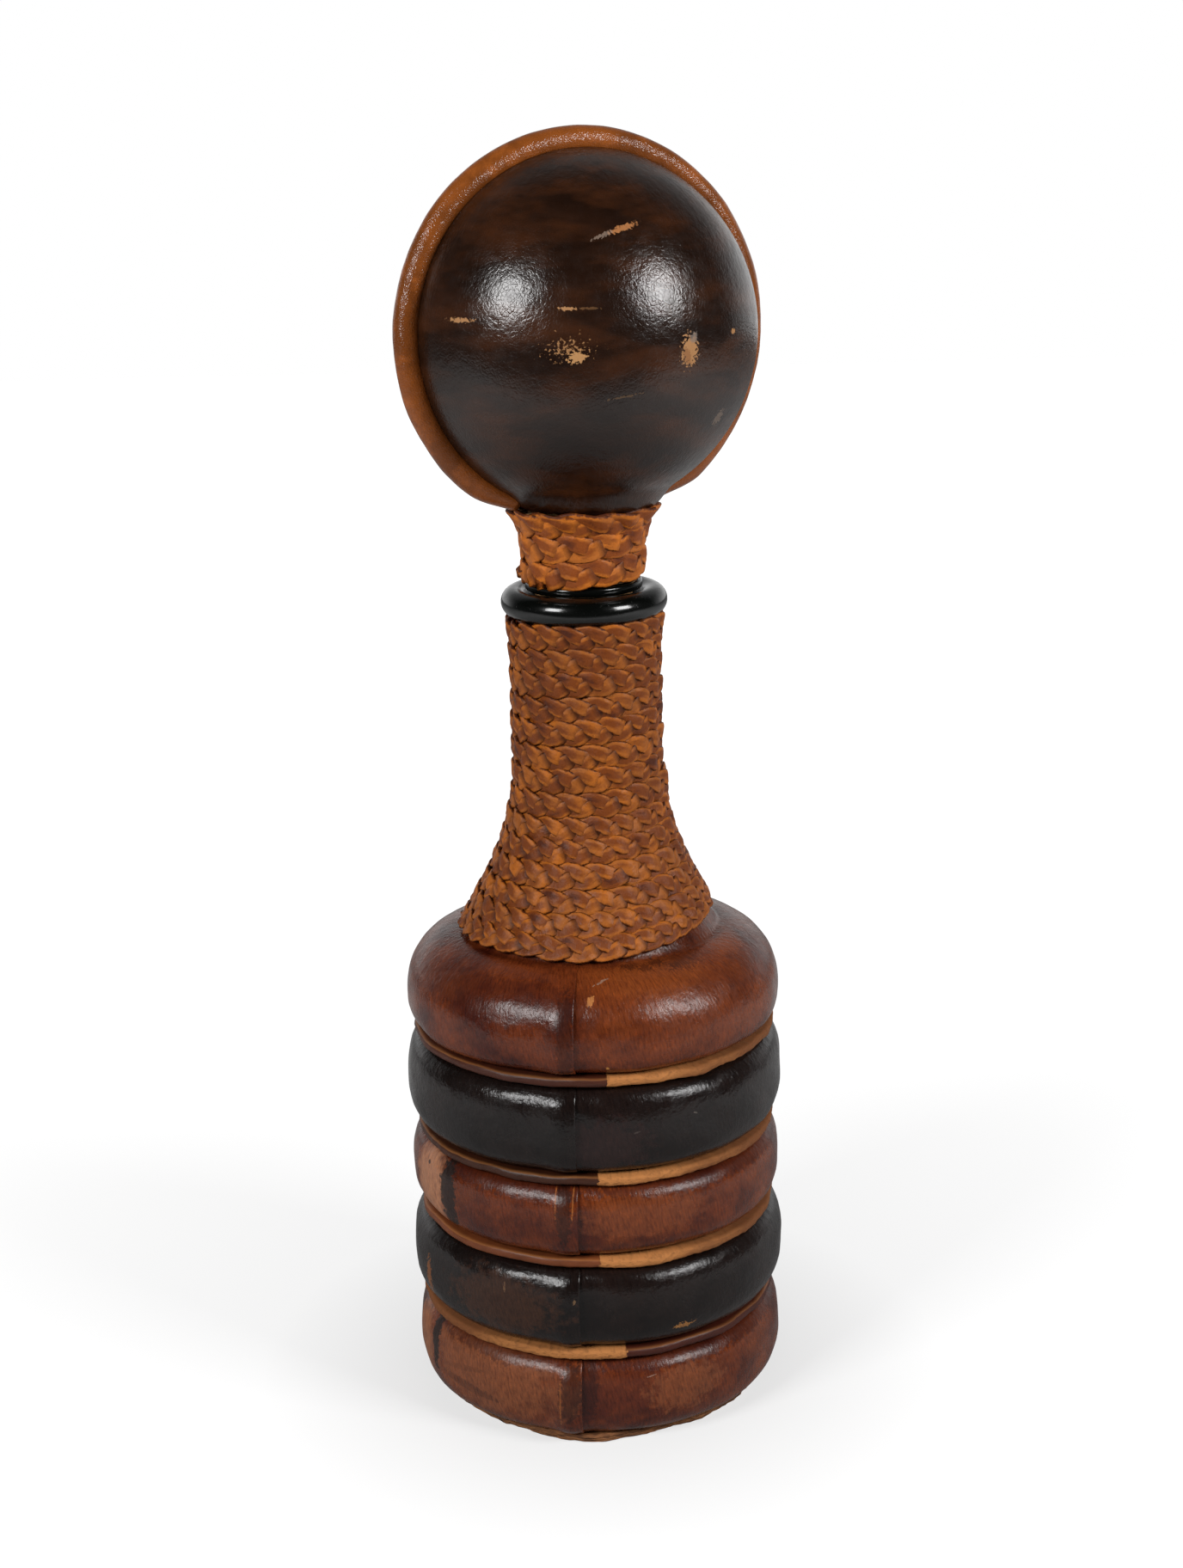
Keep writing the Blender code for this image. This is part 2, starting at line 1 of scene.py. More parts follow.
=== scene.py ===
"""Leather-wrapped decanter: the leathers, plaits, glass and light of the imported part.

Lengths are in metres. The origin is the centre of the sole's underside, +Z is up and -Y is the front. Angles
round the bottle are anticlockwise seen from above, and the strips' ends meet a little left of the front.
"""

import math

import bpy
import numpy as np
from mathutils import Matrix, Vector


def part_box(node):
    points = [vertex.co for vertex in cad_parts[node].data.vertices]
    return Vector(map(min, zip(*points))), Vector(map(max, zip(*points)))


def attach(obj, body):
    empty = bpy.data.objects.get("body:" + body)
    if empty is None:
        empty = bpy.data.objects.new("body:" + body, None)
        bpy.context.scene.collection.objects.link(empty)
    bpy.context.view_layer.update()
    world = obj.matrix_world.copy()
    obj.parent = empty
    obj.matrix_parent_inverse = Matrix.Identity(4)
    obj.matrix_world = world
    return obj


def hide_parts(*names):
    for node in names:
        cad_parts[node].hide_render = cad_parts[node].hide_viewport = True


bl_info = {
    "name": "Leather decanter",
    "version": (1, 0, 0),
    "blender": (4, 5, 0),
    "location": "View3D > Sidebar > Decanter",
    "description": "Covers a glass decanter in padded leather bands, plaits and a leather ball stopper",
    "category": "Object",
}

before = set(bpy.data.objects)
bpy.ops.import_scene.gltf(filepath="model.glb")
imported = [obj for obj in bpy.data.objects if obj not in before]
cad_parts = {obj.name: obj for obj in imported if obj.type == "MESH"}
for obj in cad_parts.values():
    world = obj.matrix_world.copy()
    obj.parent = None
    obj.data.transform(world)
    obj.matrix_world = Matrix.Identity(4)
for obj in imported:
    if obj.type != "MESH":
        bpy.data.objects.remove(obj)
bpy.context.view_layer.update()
FULL_TURN = 2 * math.pi
MERGE_DISTANCE = 0.00001


def extent(node):
    """A node's greatest distance from the bottle's axis, its lowest and its highest point."""
    points = np.array([vertex.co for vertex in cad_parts[node].data.vertices])
    return np.hypot(points[:, 0], points[:, 1]).max(), points[:, 2].min(), points[:, 2].max()


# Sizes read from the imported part
SOLE_RADIUS, SOLE_TOP = extent("base_sole")[::2]
BROWN_RADIUS = extent("shoulder_cover")[0]
BLACK_RADIUS = extent("band_cover_2")[0]
WELT_RADIUS = extent("welt_1")[0]
COLLAR_RADIUS, COLLAR_BASE, COLLAR_TOP = extent("stopper_collar")
CORK_RADIUS, CORK_BASE, CORK_TOP = extent("cork_sleeve")
GLASS_BASE, LIP_TOP = extent("glass_bottle")[1:]
GROOVES = [sum(extent("welt_%d" % number)[1:]) / 2 for number in (4, 3, 2, 1)]
BALL_CENTRE = (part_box("ball_core")[0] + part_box("ball_core")[1]) / 2

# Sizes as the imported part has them
SEAT_GAP = 0.0003            # left between two pieces that touch
GLASS_RADIUS = 0.0450
GLASS_WALL = 0.0034
GLASS_FLOOR = 0.0055
GLASS_HEEL = 0.0050
FLANGE_RADIUS = GLASS_RADIUS + 0.0025
FLANGE_WIDTH = 0.0022        # the level part of a cover's turned edge
BAND_SQUARENESS = 2.8
SHOULDER_SQUARENESS = 2.35
SHOULDER_HEIGHT = 0.0309
SHOULDER_TUCK = 0.0045
SHOULDER_EQUATOR = GROOVES[-1] + 0.0110
WELT_THICKNESS = 0.0034
FOOT_RADIUS = GLASS_RADIUS - 0.0065
FOOT_HEIGHT = GROOVES[-1] + SHOULDER_HEIGHT
SHAFT_RADIUS = 0.0197
NECK_LENGTH = 0.0960
NECK_TOP = FOOT_HEIGHT + NECK_LENGTH
FLARE_HEIGHT = 0.0535
NECK_TUCK = 0.0075           # how far the shoulder's leather goes up under the plait
SWELL = 0.0009
SWELL_HEIGHT = 0.0150
LINER_THICKNESS = 0.0013
LIP_BEAD = 0.0043
LIP_OVERHANG = 0.0050
MOUTH_DEPTH = 0.0063
LIP_HEIGHT = LIP_TOP - LIP_BEAD
LIP_CENTRE_RADIUS = SHAFT_RADIUS + LIP_OVERHANG - LIP_BEAD
BORE_RADIUS = SHAFT_RADIUS - LINER_THICKNESS - SEAT_GAP - GLASS_WALL
PEG_RADIUS = 0.0060
STEM_BASE = COLLAR_TOP + SEAT_GAP
STEM_LENGTH = 0.0208
STEM_RADIUS = COLLAR_RADIUS - 0.0018
STEM_HEAD_FLARE = 0.0032
STEM_FLARE_POWER = 4.0
STEM_HEAD_RADIUS = 0.0206    # how far the stem's plait reaches out under the ball
SPIGOT_RADIUS = 0.0120
STEM_TOP = STEM_BASE + STEM_LENGTH
BALL_TURN = math.radians(23.6)
DOME_RADIUS = 0.0520
DOME_SETBACK = 0.0035
DOME_THICKNESS = 0.0016
PIPING_REACH = DOME_RADIUS + 0.0014
PIPING_RADIUS = 0.0040
PIPING_THICKNESS = 0.0012
PIPING_OPENING = math.radians(80)
PIPING_BREAK = math.radians(25)
BRAID_TURNS = 13
STEM_TURNS = 2
BRAID_THICKNESS = 0.0026
BRAID_GAP = 0.0005
BRAID_START = math.radians(200)

# Sizes that only the finished pieces have
START_PLAY = 0.01            # angle before a strip's start within which a point still counts as the start
SEAM_CROWDING = 0.8          # share by which a cover's facets are narrowed at its seam
LAP_GAP = 0.0001
LAP_SLOPE = 0.0100           # length in which a strip's start rises from under its end
RIDGE_SPREAD = 0.0045
HOLLOW_PLACE = 0.0160        # how far from the seam a band is a little hollow
HOLLOW_DEPTH = 0.0004
HOLLOW_SPREAD = 0.0070
PADDING_GAP = 0.0012
WELT_CORNER = 0.0007
WELT_PLAY = 0.0004           # how much thinner a welt is at its face, on each side
WELT_BARE = 0.0040           # depth in which a welt thins toward its face
SOLE_FLAT = 0.0300
SOLE_EDGE = [(0.0006, 1), (0.0001, 0.80), (0.0004, 0.66), (0, 0.50), (0.0003, 0.35), (0.0001, 0.18),
             (0.0006, 0)]    # cuts from the sole's radius, at shares of its height
SOLE_GROWTH = 0.0013
SOLE_CORNER = 0.0030         # how far the sole stands out below the seam
SOLE_CORNER_SPREAD = math.radians(13)
STRAND_FULLNESS = 0.8        # how rounded a strand's section is across, from 0, a box, to 1, an oval
STRAND_FLATNESS = 0.7        # the same through its thickness
STRAND_LIFT = 0.00055        # how far a strand rises where it crosses the others
STRAND_TAPER = 0.0120
KNOT_LIFT = 0.0011
KNOT_SPREAD = 0.040          # turns of the plait
PLAIT_STANDOFF = 0.0002
CORK_CHAMFER = 0.0010
COLLAR_CORNER = 0.0008
SEAT_RADIUS = 0.0190         # the stem's head presses the ball's leather flat as far out as this
SEAT_SLOPE = 0.35
SEAT_BLEND = (0.0200, 0.0255)
PIPING_TAPER = math.radians(15)
CORD_PLAY = 0.0002
CORD_TWISTS = 18

# Facets of the finished pieces
BODY_STEPS = 168
BALL_STEPS = 144
SMALL_STEPS = 96
RING_STEPS = 200
SOLE_STEPS = 240
WELT_STEPS = 288
PERIOD_POINTS = 22           # along a strand in one period of its plait
COVER_STEP = 0.0009
WELT_STEP = 0.0007
PADDING_STEP = 0.0020
CORK_STEP = 0.0020

# Where the bands' strips start and end
STRIP_START = math.radians(260)
COVER_SWEEP = math.radians(350)      # a cover is turned this far, then stretched so that its ends lap
FRONT = math.radians(270)

# Camera and light
CAMERA_PLACE = (0.001, -0.701, 0.3904)
CAMERA_TARGET = (0.001, 0, 0.192)
CAMERA_ROLL = math.radians(-1.25)
CAMERA_LENS = 55.26
SENSOR_WIDTH = 36
LEFT_SOFTBOX = (-0.95, -0.95, 0.91)
RIGHT_SOFTBOX = (1.14, -0.71, 0.91)
SOFTBOX_TARGET = (0, 0, 0.22)
SOFTBOX_SIDE = 0.5
SOFTBOX_WATTS = 16


def colour(code):
    """Six hex digits of sRGB as linear light."""
    shares = [int(code[place:place + 2], 16) / 255 for place in (0, 2, 4)]
    return [share / 12.92 if share <= 0.04045 else ((share + 0.055) / 1.055) ** 2.4 for share in shares]


def opaque(shade):
    """A colour with its alpha, as a shader takes it."""
    return (*shade[:3], 1.0)


# Settings that a user would change
class DecanterSizes(bpy.types.PropertyGroup):
    """Sizes of the leather, in metres and radians."""
    lap: bpy.props.FloatProperty(
        name="Lap", description="How far a strip's end lies over its start",
        default=math.radians(4.2), unit="ROTATION", subtype="ANGLE")
    leather: bpy.props.FloatProperty(
        name="Cover leather", description="Thickness of the bands' leather",
        default=0.0011, unit="LENGTH", subtype="DISTANCE")
    ridge: bpy.props.FloatProperty(
        name="Seam ridge", description="How far the bands stand out at their seam",
        default=0.0012, unit="LENGTH", subtype="DISTANCE")
    plait_period: bpy.props.FloatProperty(
        name="Plait period", description="Length in which each strand of a plait crosses it and comes back",
        default=0.0215, unit="LENGTH", subtype="DISTANCE")
    plait_reach: bpy.props.FloatProperty(
        name="Plait reach", description="How far a strand swings to each side of the plait's middle",
        default=0.0023, unit="LENGTH", subtype="DISTANCE")
    strand_width: bpy.props.FloatProperty(
        name="Strand width", description="Width of one strand of a plait",
        default=0.0050, unit="LENGTH", subtype="DISTANCE")
    strand_thickness: bpy.props.FloatProperty(
        name="Strand thickness", description="Thickness of one strand of a plait",
        default=0.0017, unit="LENGTH", subtype="DISTANCE")


class DecanterColours(bpy.types.PropertyGroup):
    """Colours of the leathers and the glass."""
    brown: bpy.props.FloatVectorProperty(
        name="Brown bands", description="Middle shade of the brown bands", subtype="COLOR",
        min=0, max=1, default=colour("6A2F14"))
    black: bpy.props.FloatVectorProperty(
        name="Black bands", description="Middle shade of the black bands", subtype="COLOR",
        min=0, max=1, default=colour("1A1210"))
    ball: bpy.props.FloatVectorProperty(
        name="Ball", description="Middle shade of the ball's leather", subtype="COLOR",
        min=0, max=1, default=colour("2B180E"))
    plait: bpy.props.FloatVectorProperty(
        name="Plaits", description="Middle shade of the plaited strands", subtype="COLOR",
        min=0, max=1, default=colour("9E5920"))
    piping: bpy.props.FloatVectorProperty(
        name="Piping", description="Middle shade of the ball's piping", subtype="COLOR",
        min=0, max=1, default=colour("995321"))
    welt: bpy.props.FloatVectorProperty(
        name="Welts", description="Shade of the raw leather of the welts", subtype="COLOR",
        min=0, max=1, default=colour("BC7B43"))
    glass: bpy.props.FloatVectorProperty(
        name="Glass", description="Colour of the bottle's glass", subtype="COLOR",
        min=0, max=1, default=colour("060806"))


def sizes():
    return bpy.context.scene.decanter_sizes


def shades():
    return bpy.context.scene.decanter_colours


# Profiles: lists of (radius, height)
def rounded(values, power):
    """Sines or cosines raised to a power, with their signs kept. Below 1 it makes an arc of them fuller."""
    return np.sign(values) * np.abs(values) ** power


def bulge(centre, reach, squareness, start, end, count):
    """A squared-off arc about centre, whose reach is (across, up), from one angle in degrees to another."""
    angles = np.radians(np.linspace(start, end, count))
    across = rounded(np.cos(angles), 2 / squareness)
    up = rounded(np.sin(angles), 2 / squareness)
    return [(centre[0] + reach[0] * x, centre[1] + reach[1] * y) for x, y in zip(across, up)]


def arc(centre, radius, start, end, count):
    return bulge(centre, (radius, radius), 2, start, end, count)


def offset(profile, distance):
    """The profile moved to the left of its own direction, each chord by the same distance."""
    line = np.array(profile)
    chords = np.diff(line, axis=0)
    chords /= np.linalg.norm(chords, axis=1)[:, None]
    left = np.column_stack([-chords[:, 1], chords[:, 0]])
    before = np.vstack([left[:1], left])
    after = np.vstack([left, left[-1:]])
    mitre = 2 * (before + after) / np.sum((before + after) ** 2, axis=1)[:, None]
    return [tuple(point) for point in line + mitre * distance]


def run_along(line):
    """How far each point of a line lies from its start, measured along it."""
    return np.concatenate([[0], np.cumsum(np.hypot(*np.diff(line, axis=0).T))])


def evenly(profile, step):
    """The same profile with points no further apart than step."""
    line = np.array(profile)
    run = run_along(line)
    places = np.linspace(0, run[-1], max(2, math.ceil(run[-1] / step) + 1))
    return list(zip(np.interp(places, run, line[:, 0]), np.interp(places, run, line[:, 1])))


def shaft_radius_at(height):
    """Radius of the surface that the neck's plait lies on."""
    below = max(0.0, 1 - (height - FOOT_HEIGHT) / FLARE_HEIGHT)
    above = max(0.0, 1 - (NECK_TOP - height) / SWELL_HEIGHT)
    return SHAFT_RADIUS + (FOOT_RADIUS - SHAFT_RADIUS) * below ** 2 + SWELL * above ** 2


def stem_radius_at(height):
    """Radius of the surface that the stem's plait lies on."""
    share = max(0.0, (height - STEM_BASE) / STEM_LENGTH)
    return STEM_RADIUS + STEM_HEAD_FLARE * share ** STEM_FLARE_POWER


def shaft_profile(count):
    return [(shaft_radius_at(height), height) for height in np.linspace(FOOT_HEIGHT, NECK_TOP, count)]


def stem_surface():
    """What the stem's plait lies on: the collar's upper edge, the stem, and its flare under the ball."""
    edge = [(COLLAR_RADIUS - 0.0003, COLLAR_TOP - 0.0006)]
    heights = np.linspace(STEM_BASE + 0.001, STEM_TOP - 0.0008, 60)
    stem = [(stem_radius_at(height), height) for height in heights]
    return edge + stem + [(STEM_HEAD_RADIUS, STEM_TOP + 0.0012)]


def neck_surface():
    """What the neck's plait lies on: the rim of the shoulder's leather, then the neck."""
    rim = shoulder_lines()[:4]
    return [(radius, height + SEAT_GAP) for radius, height in rim[:0:-1]] + shaft_profile(240)


def glass_outline():
    """The bottle's outside from under the lip down to its straight side, which an arc joins to the neck."""
    neck = offset(shaft_profile(60), LINER_THICKNESS + SEAT_GAP)
    foot = neck[0]
    lean = math.atan((foot[0] - neck[1][0]) / (neck[1][1] - foot[1]))
    radius = (GLASS_RADIUS - foot[0]) / (1 - math.cos(lean))
    centre = (GLASS_RADIUS - radius, foot[1] - radius * math.sin(lean))
    return neck[::-1][:-1] + arc(centre, radius, math.degrees(lean), 0, 10)


def band_lines(number):
    """A cover's profile from its turned upper edge down to its turned lower edge."""
    if number == 1:
        return shoulder_lines()
    index = 5 - number
    low = SOLE_TOP + SEAT_GAP if index == 0 else GROOVES[index - 1] + WELT_THICKNESS / 2 + SEAT_GAP
    high = GROOVES[index] - WELT_THICKNESS / 2 - SEAT_GAP
    radius = band_radius(number)
    centre = (FLANGE_RADIUS + FLANGE_WIDTH, (low + high) / 2)
    curve = bulge(centre, (radius - centre[0], (high - low) / 2), BAND_SQUARENESS, 90, -90, 61)
    return [(FLANGE_RADIUS, high)] + curve + [(FLANGE_RADIUS, low)]


def shoulder_lines():
    low = GROOVES[-1] + WELT_THICKNESS / 2 + SEAT_GAP
    centre = (FOOT_RADIUS - SHOULDER_TUCK, SHOULDER_EQUATOR)
    reach = (BROWN_RADIUS - centre[0], FOOT_HEIGHT - SEAT_GAP - SHOULDER_EQUATOR)
    edge_share = (SHOULDER_TUCK + SEAT_GAP) / reach[0]
    edge_angle = math.degrees(math.acos(edge_share ** (SHOULDER_SQUARENESS / 2)))
    upper = bulge(centre, reach, SHOULDER_SQUARENESS, edge_angle, 0, 50)
    below = (FLANGE_RADIUS + FLANGE_WIDTH, SHOULDER_EQUATOR)
    drop = (BROWN_RADIUS - below[0], SHOULDER_EQUATOR - low)
    lower = bulge(below, drop, BAND_SQUARENESS, 0, -90, 30)
    return upper + lower[1:] + [(FLANGE_RADIUS, low)]


def band_radius(number):
    return BROWN_RADIUS if number % 2 else BLACK_RADIUS


# Shaping
def points_of(piece):
    points = np.empty(len(piece.data.vertices) * 3, np.float32)
    piece.data.vertices.foreach_get("co", points)
    return points.reshape(-1, 3).astype(float)


def move_points(piece, points):
    piece.data.vertices.foreach_set("co", np.ascontiguousarray(points, np.float32).ravel())
    piece.data.update()


def polar(points):
    """Each point's distance from the upright axis and its angle round it."""
    return np.hypot(points[:, 0], points[:, 1]), np.arctan2(points[:, 1], points[:, 0])


def unpolar(radius, angle, height):
    """Points from their distances from the upright axis, their angles and their heights."""
    return np.column_stack([radius * np.cos(angle), radius * np.sin(angle), height])


def ripple(points, size, seed):
    """Smooth unevenness of about -1 to 1 at each point, with swells about one size apart."""
    random = np.random.default_rng(seed)
    total = np.zeros(len(points))
    for _ in range(7):
        direction = random.normal(size=3)
        direction *= FULL_TURN / size * random.uniform(0.6, 1.4) / np.linalg.norm(direction)
        total += np.sin(points @ direction + random.uniform(0, FULL_TURN))
    return total / 3


def ease(value, low, high):
    """0 below low, 1 above high and smooth between them."""
    share = np.clip((value - low) / (high - low), 0, 1)
    return share * share * (3 - 2 * share)


def select_only(piece):
    bpy.ops.object.select_all(action="DESELECT")
    piece.select_set(True)
    bpy.context.view_layer.objects.active = piece


def apply_modifier(piece, modifier):
    select_only(piece)
    bpy.ops.object.modifier_apply(modifier=modifier.name)


def faces_outwards(piece):
    centres = np.array([face.center * face.area for face in piece.data.polygons])
    normals = np.array([face.normal for face in piece.data.polygons])
    areas = np.array([face.area for face in piece.data.polygons])
    middle = centres.sum(axis=0) / areas.sum()
    return np.sum(normals * (centres - areas[:, None] * middle)) > 0


def turned(name, profile, steps, start=FRONT, sweep=FULL_TURN):
    """Turns a profile of (radius, height) points about the bottle's axis."""
    across, along = math.cos(start), math.sin(start)
    points = [Vector((radius * across, radius * along, height)) for radius, height in profile]
    bpy.ops.object.select_all(action="DESELECT")
    bpy.ops.mesh.primitive_plane_add(size=0.001, enter_editmode=True, location=points[0])
    bpy.ops.mesh.merge(type="CENTER")
    for here, there in zip(points, points[1:]):
        bpy.ops.mesh.extrude_region_move(TRANSFORM_OT_translate={"value": there - here})
    bpy.ops.mesh.select_all(action="SELECT")
    bpy.ops.mesh.spin(steps=steps, angle=sweep, center=(0, 0, 0), axis=(0, 0, -1))
    bpy.ops.mesh.select_all(action="SELECT")
    if sweep == FULL_TURN:
        bpy.ops.mesh.remove_doubles(threshold=MERGE_DISTANCE)
    bpy.ops.mesh.normals_make_consistent(inside=False)
    bpy.ops.object.mode_set(mode="OBJECT")
    bpy.ops.object.transform_apply(location=True, rotation=True, scale=True)
    made = bpy.context.object
    made.name = name
    made.data.name = name
    if not faces_outwards(made):
        made.data.flip_normals()
    bpy.ops.object.shade_smooth()
    return made


def give_wall(piece, thickness):
    """Gives an open shell a wall on its inner side."""
    wall = piece.modifiers.new("Wall", "SOLIDIFY")
    wall.thickness = thickness
    wall.offset = -1
    wall.use_even_offset = True
    apply_modifier(piece, wall)


def finish_piece(piece, body, node, material):
    """Puts a finished piece on its body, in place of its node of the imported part."""
    piece.data.materials.clear()
    piece.data.materials.append(material)
    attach(piece, body)
    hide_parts(node)
    return piece


def refinish(node, material):
    """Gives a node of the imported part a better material."""
    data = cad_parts[node].data
    data.materials.clear()
    data.materials.append(material)


def write_wrap(piece, along, up, **shares):
    """Keeps each point's place on the unrolled leather, in metres, and further values by their names."""
    zero = np.zeros(len(piece.data.vertices))
    attribute = piece.data.attributes.new("wrap", "FLOAT_VECTOR", "POINT")
    attribute.data.foreach_set("vector", np.column_stack([along, up, zero]).astype(np.float32).ravel())
    for name, values in shares.items():
        attribute = piece.data.attributes.new(name, "FLOAT", "POINT")
        attribute.data.foreach_set("value", np.asarray(values, np.float32))


# Materials
def add(tree, kind, inputs=None, out=0, **settings):
    """Adds a node with its settings, sets or links its inputs and gives back one of its outputs."""
    node = tree.nodes.new(kind)
    for name, value in settings.items():
        setattr(node, name, value)
    for socket, value in (inputs or {}).items():
        if isinstance(value, bpy.types.NodeSocket):
            tree.links.new(value, node.inputs[socket])
        else:
            node.inputs[socket].default_value = value
    return node.outputs[out] if node.outputs else None


def new_material(name, wrapped=False):
    """An empty material, its node tree and each point's place in the piece, or on the unrolled leather."""
    made = bpy.data.materials.new(name)
    made.use_nodes = True
    tree = made.node_tree
    tree.nodes.clear()
    if wrapped:
        return made, tree, add(tree, "ShaderNodeAttribute", attribute_name="wrap", out="Vector")
    return made, tree, add(tree, "ShaderNodeTexCoord", out="Object")


def cloud(tree, place, size, detail=3.0, stretch=(1, 1, 1)):
    """Noise whose patches are about one size wide, longer where stretch is more than 1."""
    scale = [1 / (size * share) for share in stretch]
    point = add(tree, "ShaderNodeMapping", {"Vector": place, "Scale": scale})
    shape = {"Vector": point, "Scale": 1.0, "Detail": detail, "Roughness": 0.6}
    return add(tree, "ShaderNodeTexNoise", shape)


def patches(tree, place, size, span, ends, **shape):
    """The same noise, with a span of its values carried over to two ends."""
    value = cloud(tree, place, size, **shape)
    return add(tree, "ShaderNodeMapRange", {0: value, 1: span[0], 2: span[1], 3: ends[0], 4: ends[1]})


def tinted(tree, tone, shade, value, span, most=1.0, way="MIX"):
    """Lays a shade over a tone, up to the share most, as a value crosses its span. MULTIPLY dyes the tone."""
    share = add(tree, "ShaderNodeMapRange", {0: value, 1: span[0], 2: span[1], 4: most})
    return add(tree, "ShaderNodeMix", {0: share, 6: tone, 7: opaque(shade)}, out=2, data_type="RGBA",
               blend_type=way)


def dyed(shade, *shares):
    """A colour with its red, green and blue multiplied by three shares."""
    return [part * share for part, share in zip(shade, shares)]


def scaled(shade, share):
    """A colour with all its parts multiplied alike."""
    return [part * share for part in shade]


def surface(tree, tone, roughness, reliefs, coat=0.0, shine=0.5):
    """A shader that isn't a metal, whose own shine is weak where wax or polish lies on it.

    The reliefs are heights in millimetres, which are added up.
    """
    height = reliefs[0]
    for relief in reliefs[1:]:
        height = add(tree, "ShaderNodeMath", {0: height, 1: relief}, operation="ADD")
    normal = add(tree, "ShaderNodeBump", {"Height": height, "Strength": 1.0, "Distance": 0.001})
    shader = add(tree, "ShaderNodeBsdfPrincipled", {
        "Base Color": tone, "Roughness": roughness, "IOR": 1.5, "Specular IOR Level": shine, "Normal": normal,
        "Coat Weight": coat, "Coat Roughness": 0.15, "Coat Normal": normal})
    add(tree, "ShaderNodeOutputMaterial", {"Surface": shader})


def spot(tree, wrap, centre, half, turn, ragged):
    """1 inside a mark on the unrolled leather and 0 outside. Ragged marks are crumbly, others fade out."""
    local = add(tree, "ShaderNodeMapping", {
        "Vector": wrap, "Location": (*centre, 0), "Rotation": (0, 0, math.radians(turn)),
        "Scale": (*half, 1000)}, vector_type="TEXTURE")
    distance = add(tree, "ShaderNodeVectorMath", {0: local}, out="Value", operation="LENGTH")
    shift = 0.8 * max(0, ragged - 1)
    if ragged >= 0.45:
        crumb, detail, soft = 0.0009, 4, 0.06 + 0.25 * shift
    else:
        crumb, detail, soft = 0.0006 + 0.30 * min(half), 2.5, 0.05 + 22 * min(half)
    wobble = patches(tree, wrap, crumb, (0.3, 0.7), (shift - ragged, shift + ragged), detail=detail)
    total = add(tree, "ShaderNodeMath", {0: distance, 1: wobble}, operation="ADD")
    return add(tree, "ShaderNodeMapRange", {0: total, 1: 1 + soft, 2: 1 - soft})


def marked(tree, wrap, tone, rough, marks, bare):
    """A tone and a roughness with a table's marks laid over them, where bare is the marks' own roughness."""
    for x, y, half_x, half_y, turn, shade, strength, ragged in marks:
        mask = spot(tree, wrap, (x / 1000, y / 1000), (half_x / 1000, half_y / 1000), turn, ragged)
        weight = add(tree, "ShaderNodeMath", {0: mask, 1: strength}, operation="MULTIPLY")
        tone = add(tree, "ShaderNodeMix", {0: weight, 6: tone, 7: opaque(colour(shade))}, out=2,
                   data_type="RGBA")
        rough = add(tree, "ShaderNodeMix", {0: weight, 2: rough, 3: bare})
    return tone, rough


def cover_leather(name, dark, middle, light, marks=()):
    """Vegetable-tanned cowhide, dyed by hand, stretched wet over padding and waxed.

    The dye lies in clouds, the pores and hair marks show as fine short strokes along the hide, the wax gives
    a broken gloss, and the colour is darkest in the grooves: dye that collected there, and painted shade.
    """
    made, tree, wrap = new_material(name, wrapped=True)
    edge = add(tree, "ShaderNodeAttribute", attribute_name="edge", out="Fac")
    tone = tinted(tree, opaque(dark), middle, cloud(tree, wrap, 0.016), (0.38, 0.60))
    tone = tinted(tree, tone, light, cloud(tree, wrap, 0.030, stretch=(1.5, 0.8, 1)), (0.50, 0.70), 0.7)
    rough = patches(tree, wrap, 0.005, (0.35, 0.65), (0.18, 0.29), detail=4)
    tone, rough = marked(tree, wrap, tone, rough, marks, 0.38)
    tone = tinted(tree, tone, (0.50, 0.42, 0.42), cloud(tree, wrap, 0.0042), (0.50, 0.72), 0.40, "MULTIPLY")
    slanted = add(tree, "ShaderNodeMapping", {"Vector": wrap, "Rotation": (0, 0, math.radians(-12))})
    strokes = cloud(tree, slanted, 0.0006, detail=2, stretch=(1, 5, 1))
    tone = tinted(tree, tone, (0.50, 0.40, 0.40), strokes, (0.50, 0.68), 0.70, "MULTIPLY")
    tone = tinted(tree, tone, (1.45, 1.35, 1.20), strokes, (0.46, 0.32), 0.70, "MULTIPLY")
    # Darker toward the upper and lower edges, where the cover tucks into the grooves: collected dye and
    # painted shade.
    tone = tinted(tree, tone, (0.16, 0.12, 0.14), edge, (0.66, 0.98), 0.8, "MULTIPLY")
    cells = add(tree, "ShaderNodeTexVoronoi", {"Vector": wrap, "Scale": 1 / 0.0010}, feature="SMOOTH_F1")
    pebbles = add(tree, "ShaderNodeMapRange", {0: cells, 2: 0.8, 3: 0.035, 4: 0.0})
    grain = add(tree, "ShaderNodeMapRange", {0: strokes, 1: 0.35, 2: 0.65, 3: 0.02, 4: 0.0})
    swell = patches(tree, wrap, 0.0026, (0.3, 0.7), (0.0, 0.08), detail=4)
    surface(tree, tone, rough, [pebbles, grain, swell], shine=0.37)
    return made


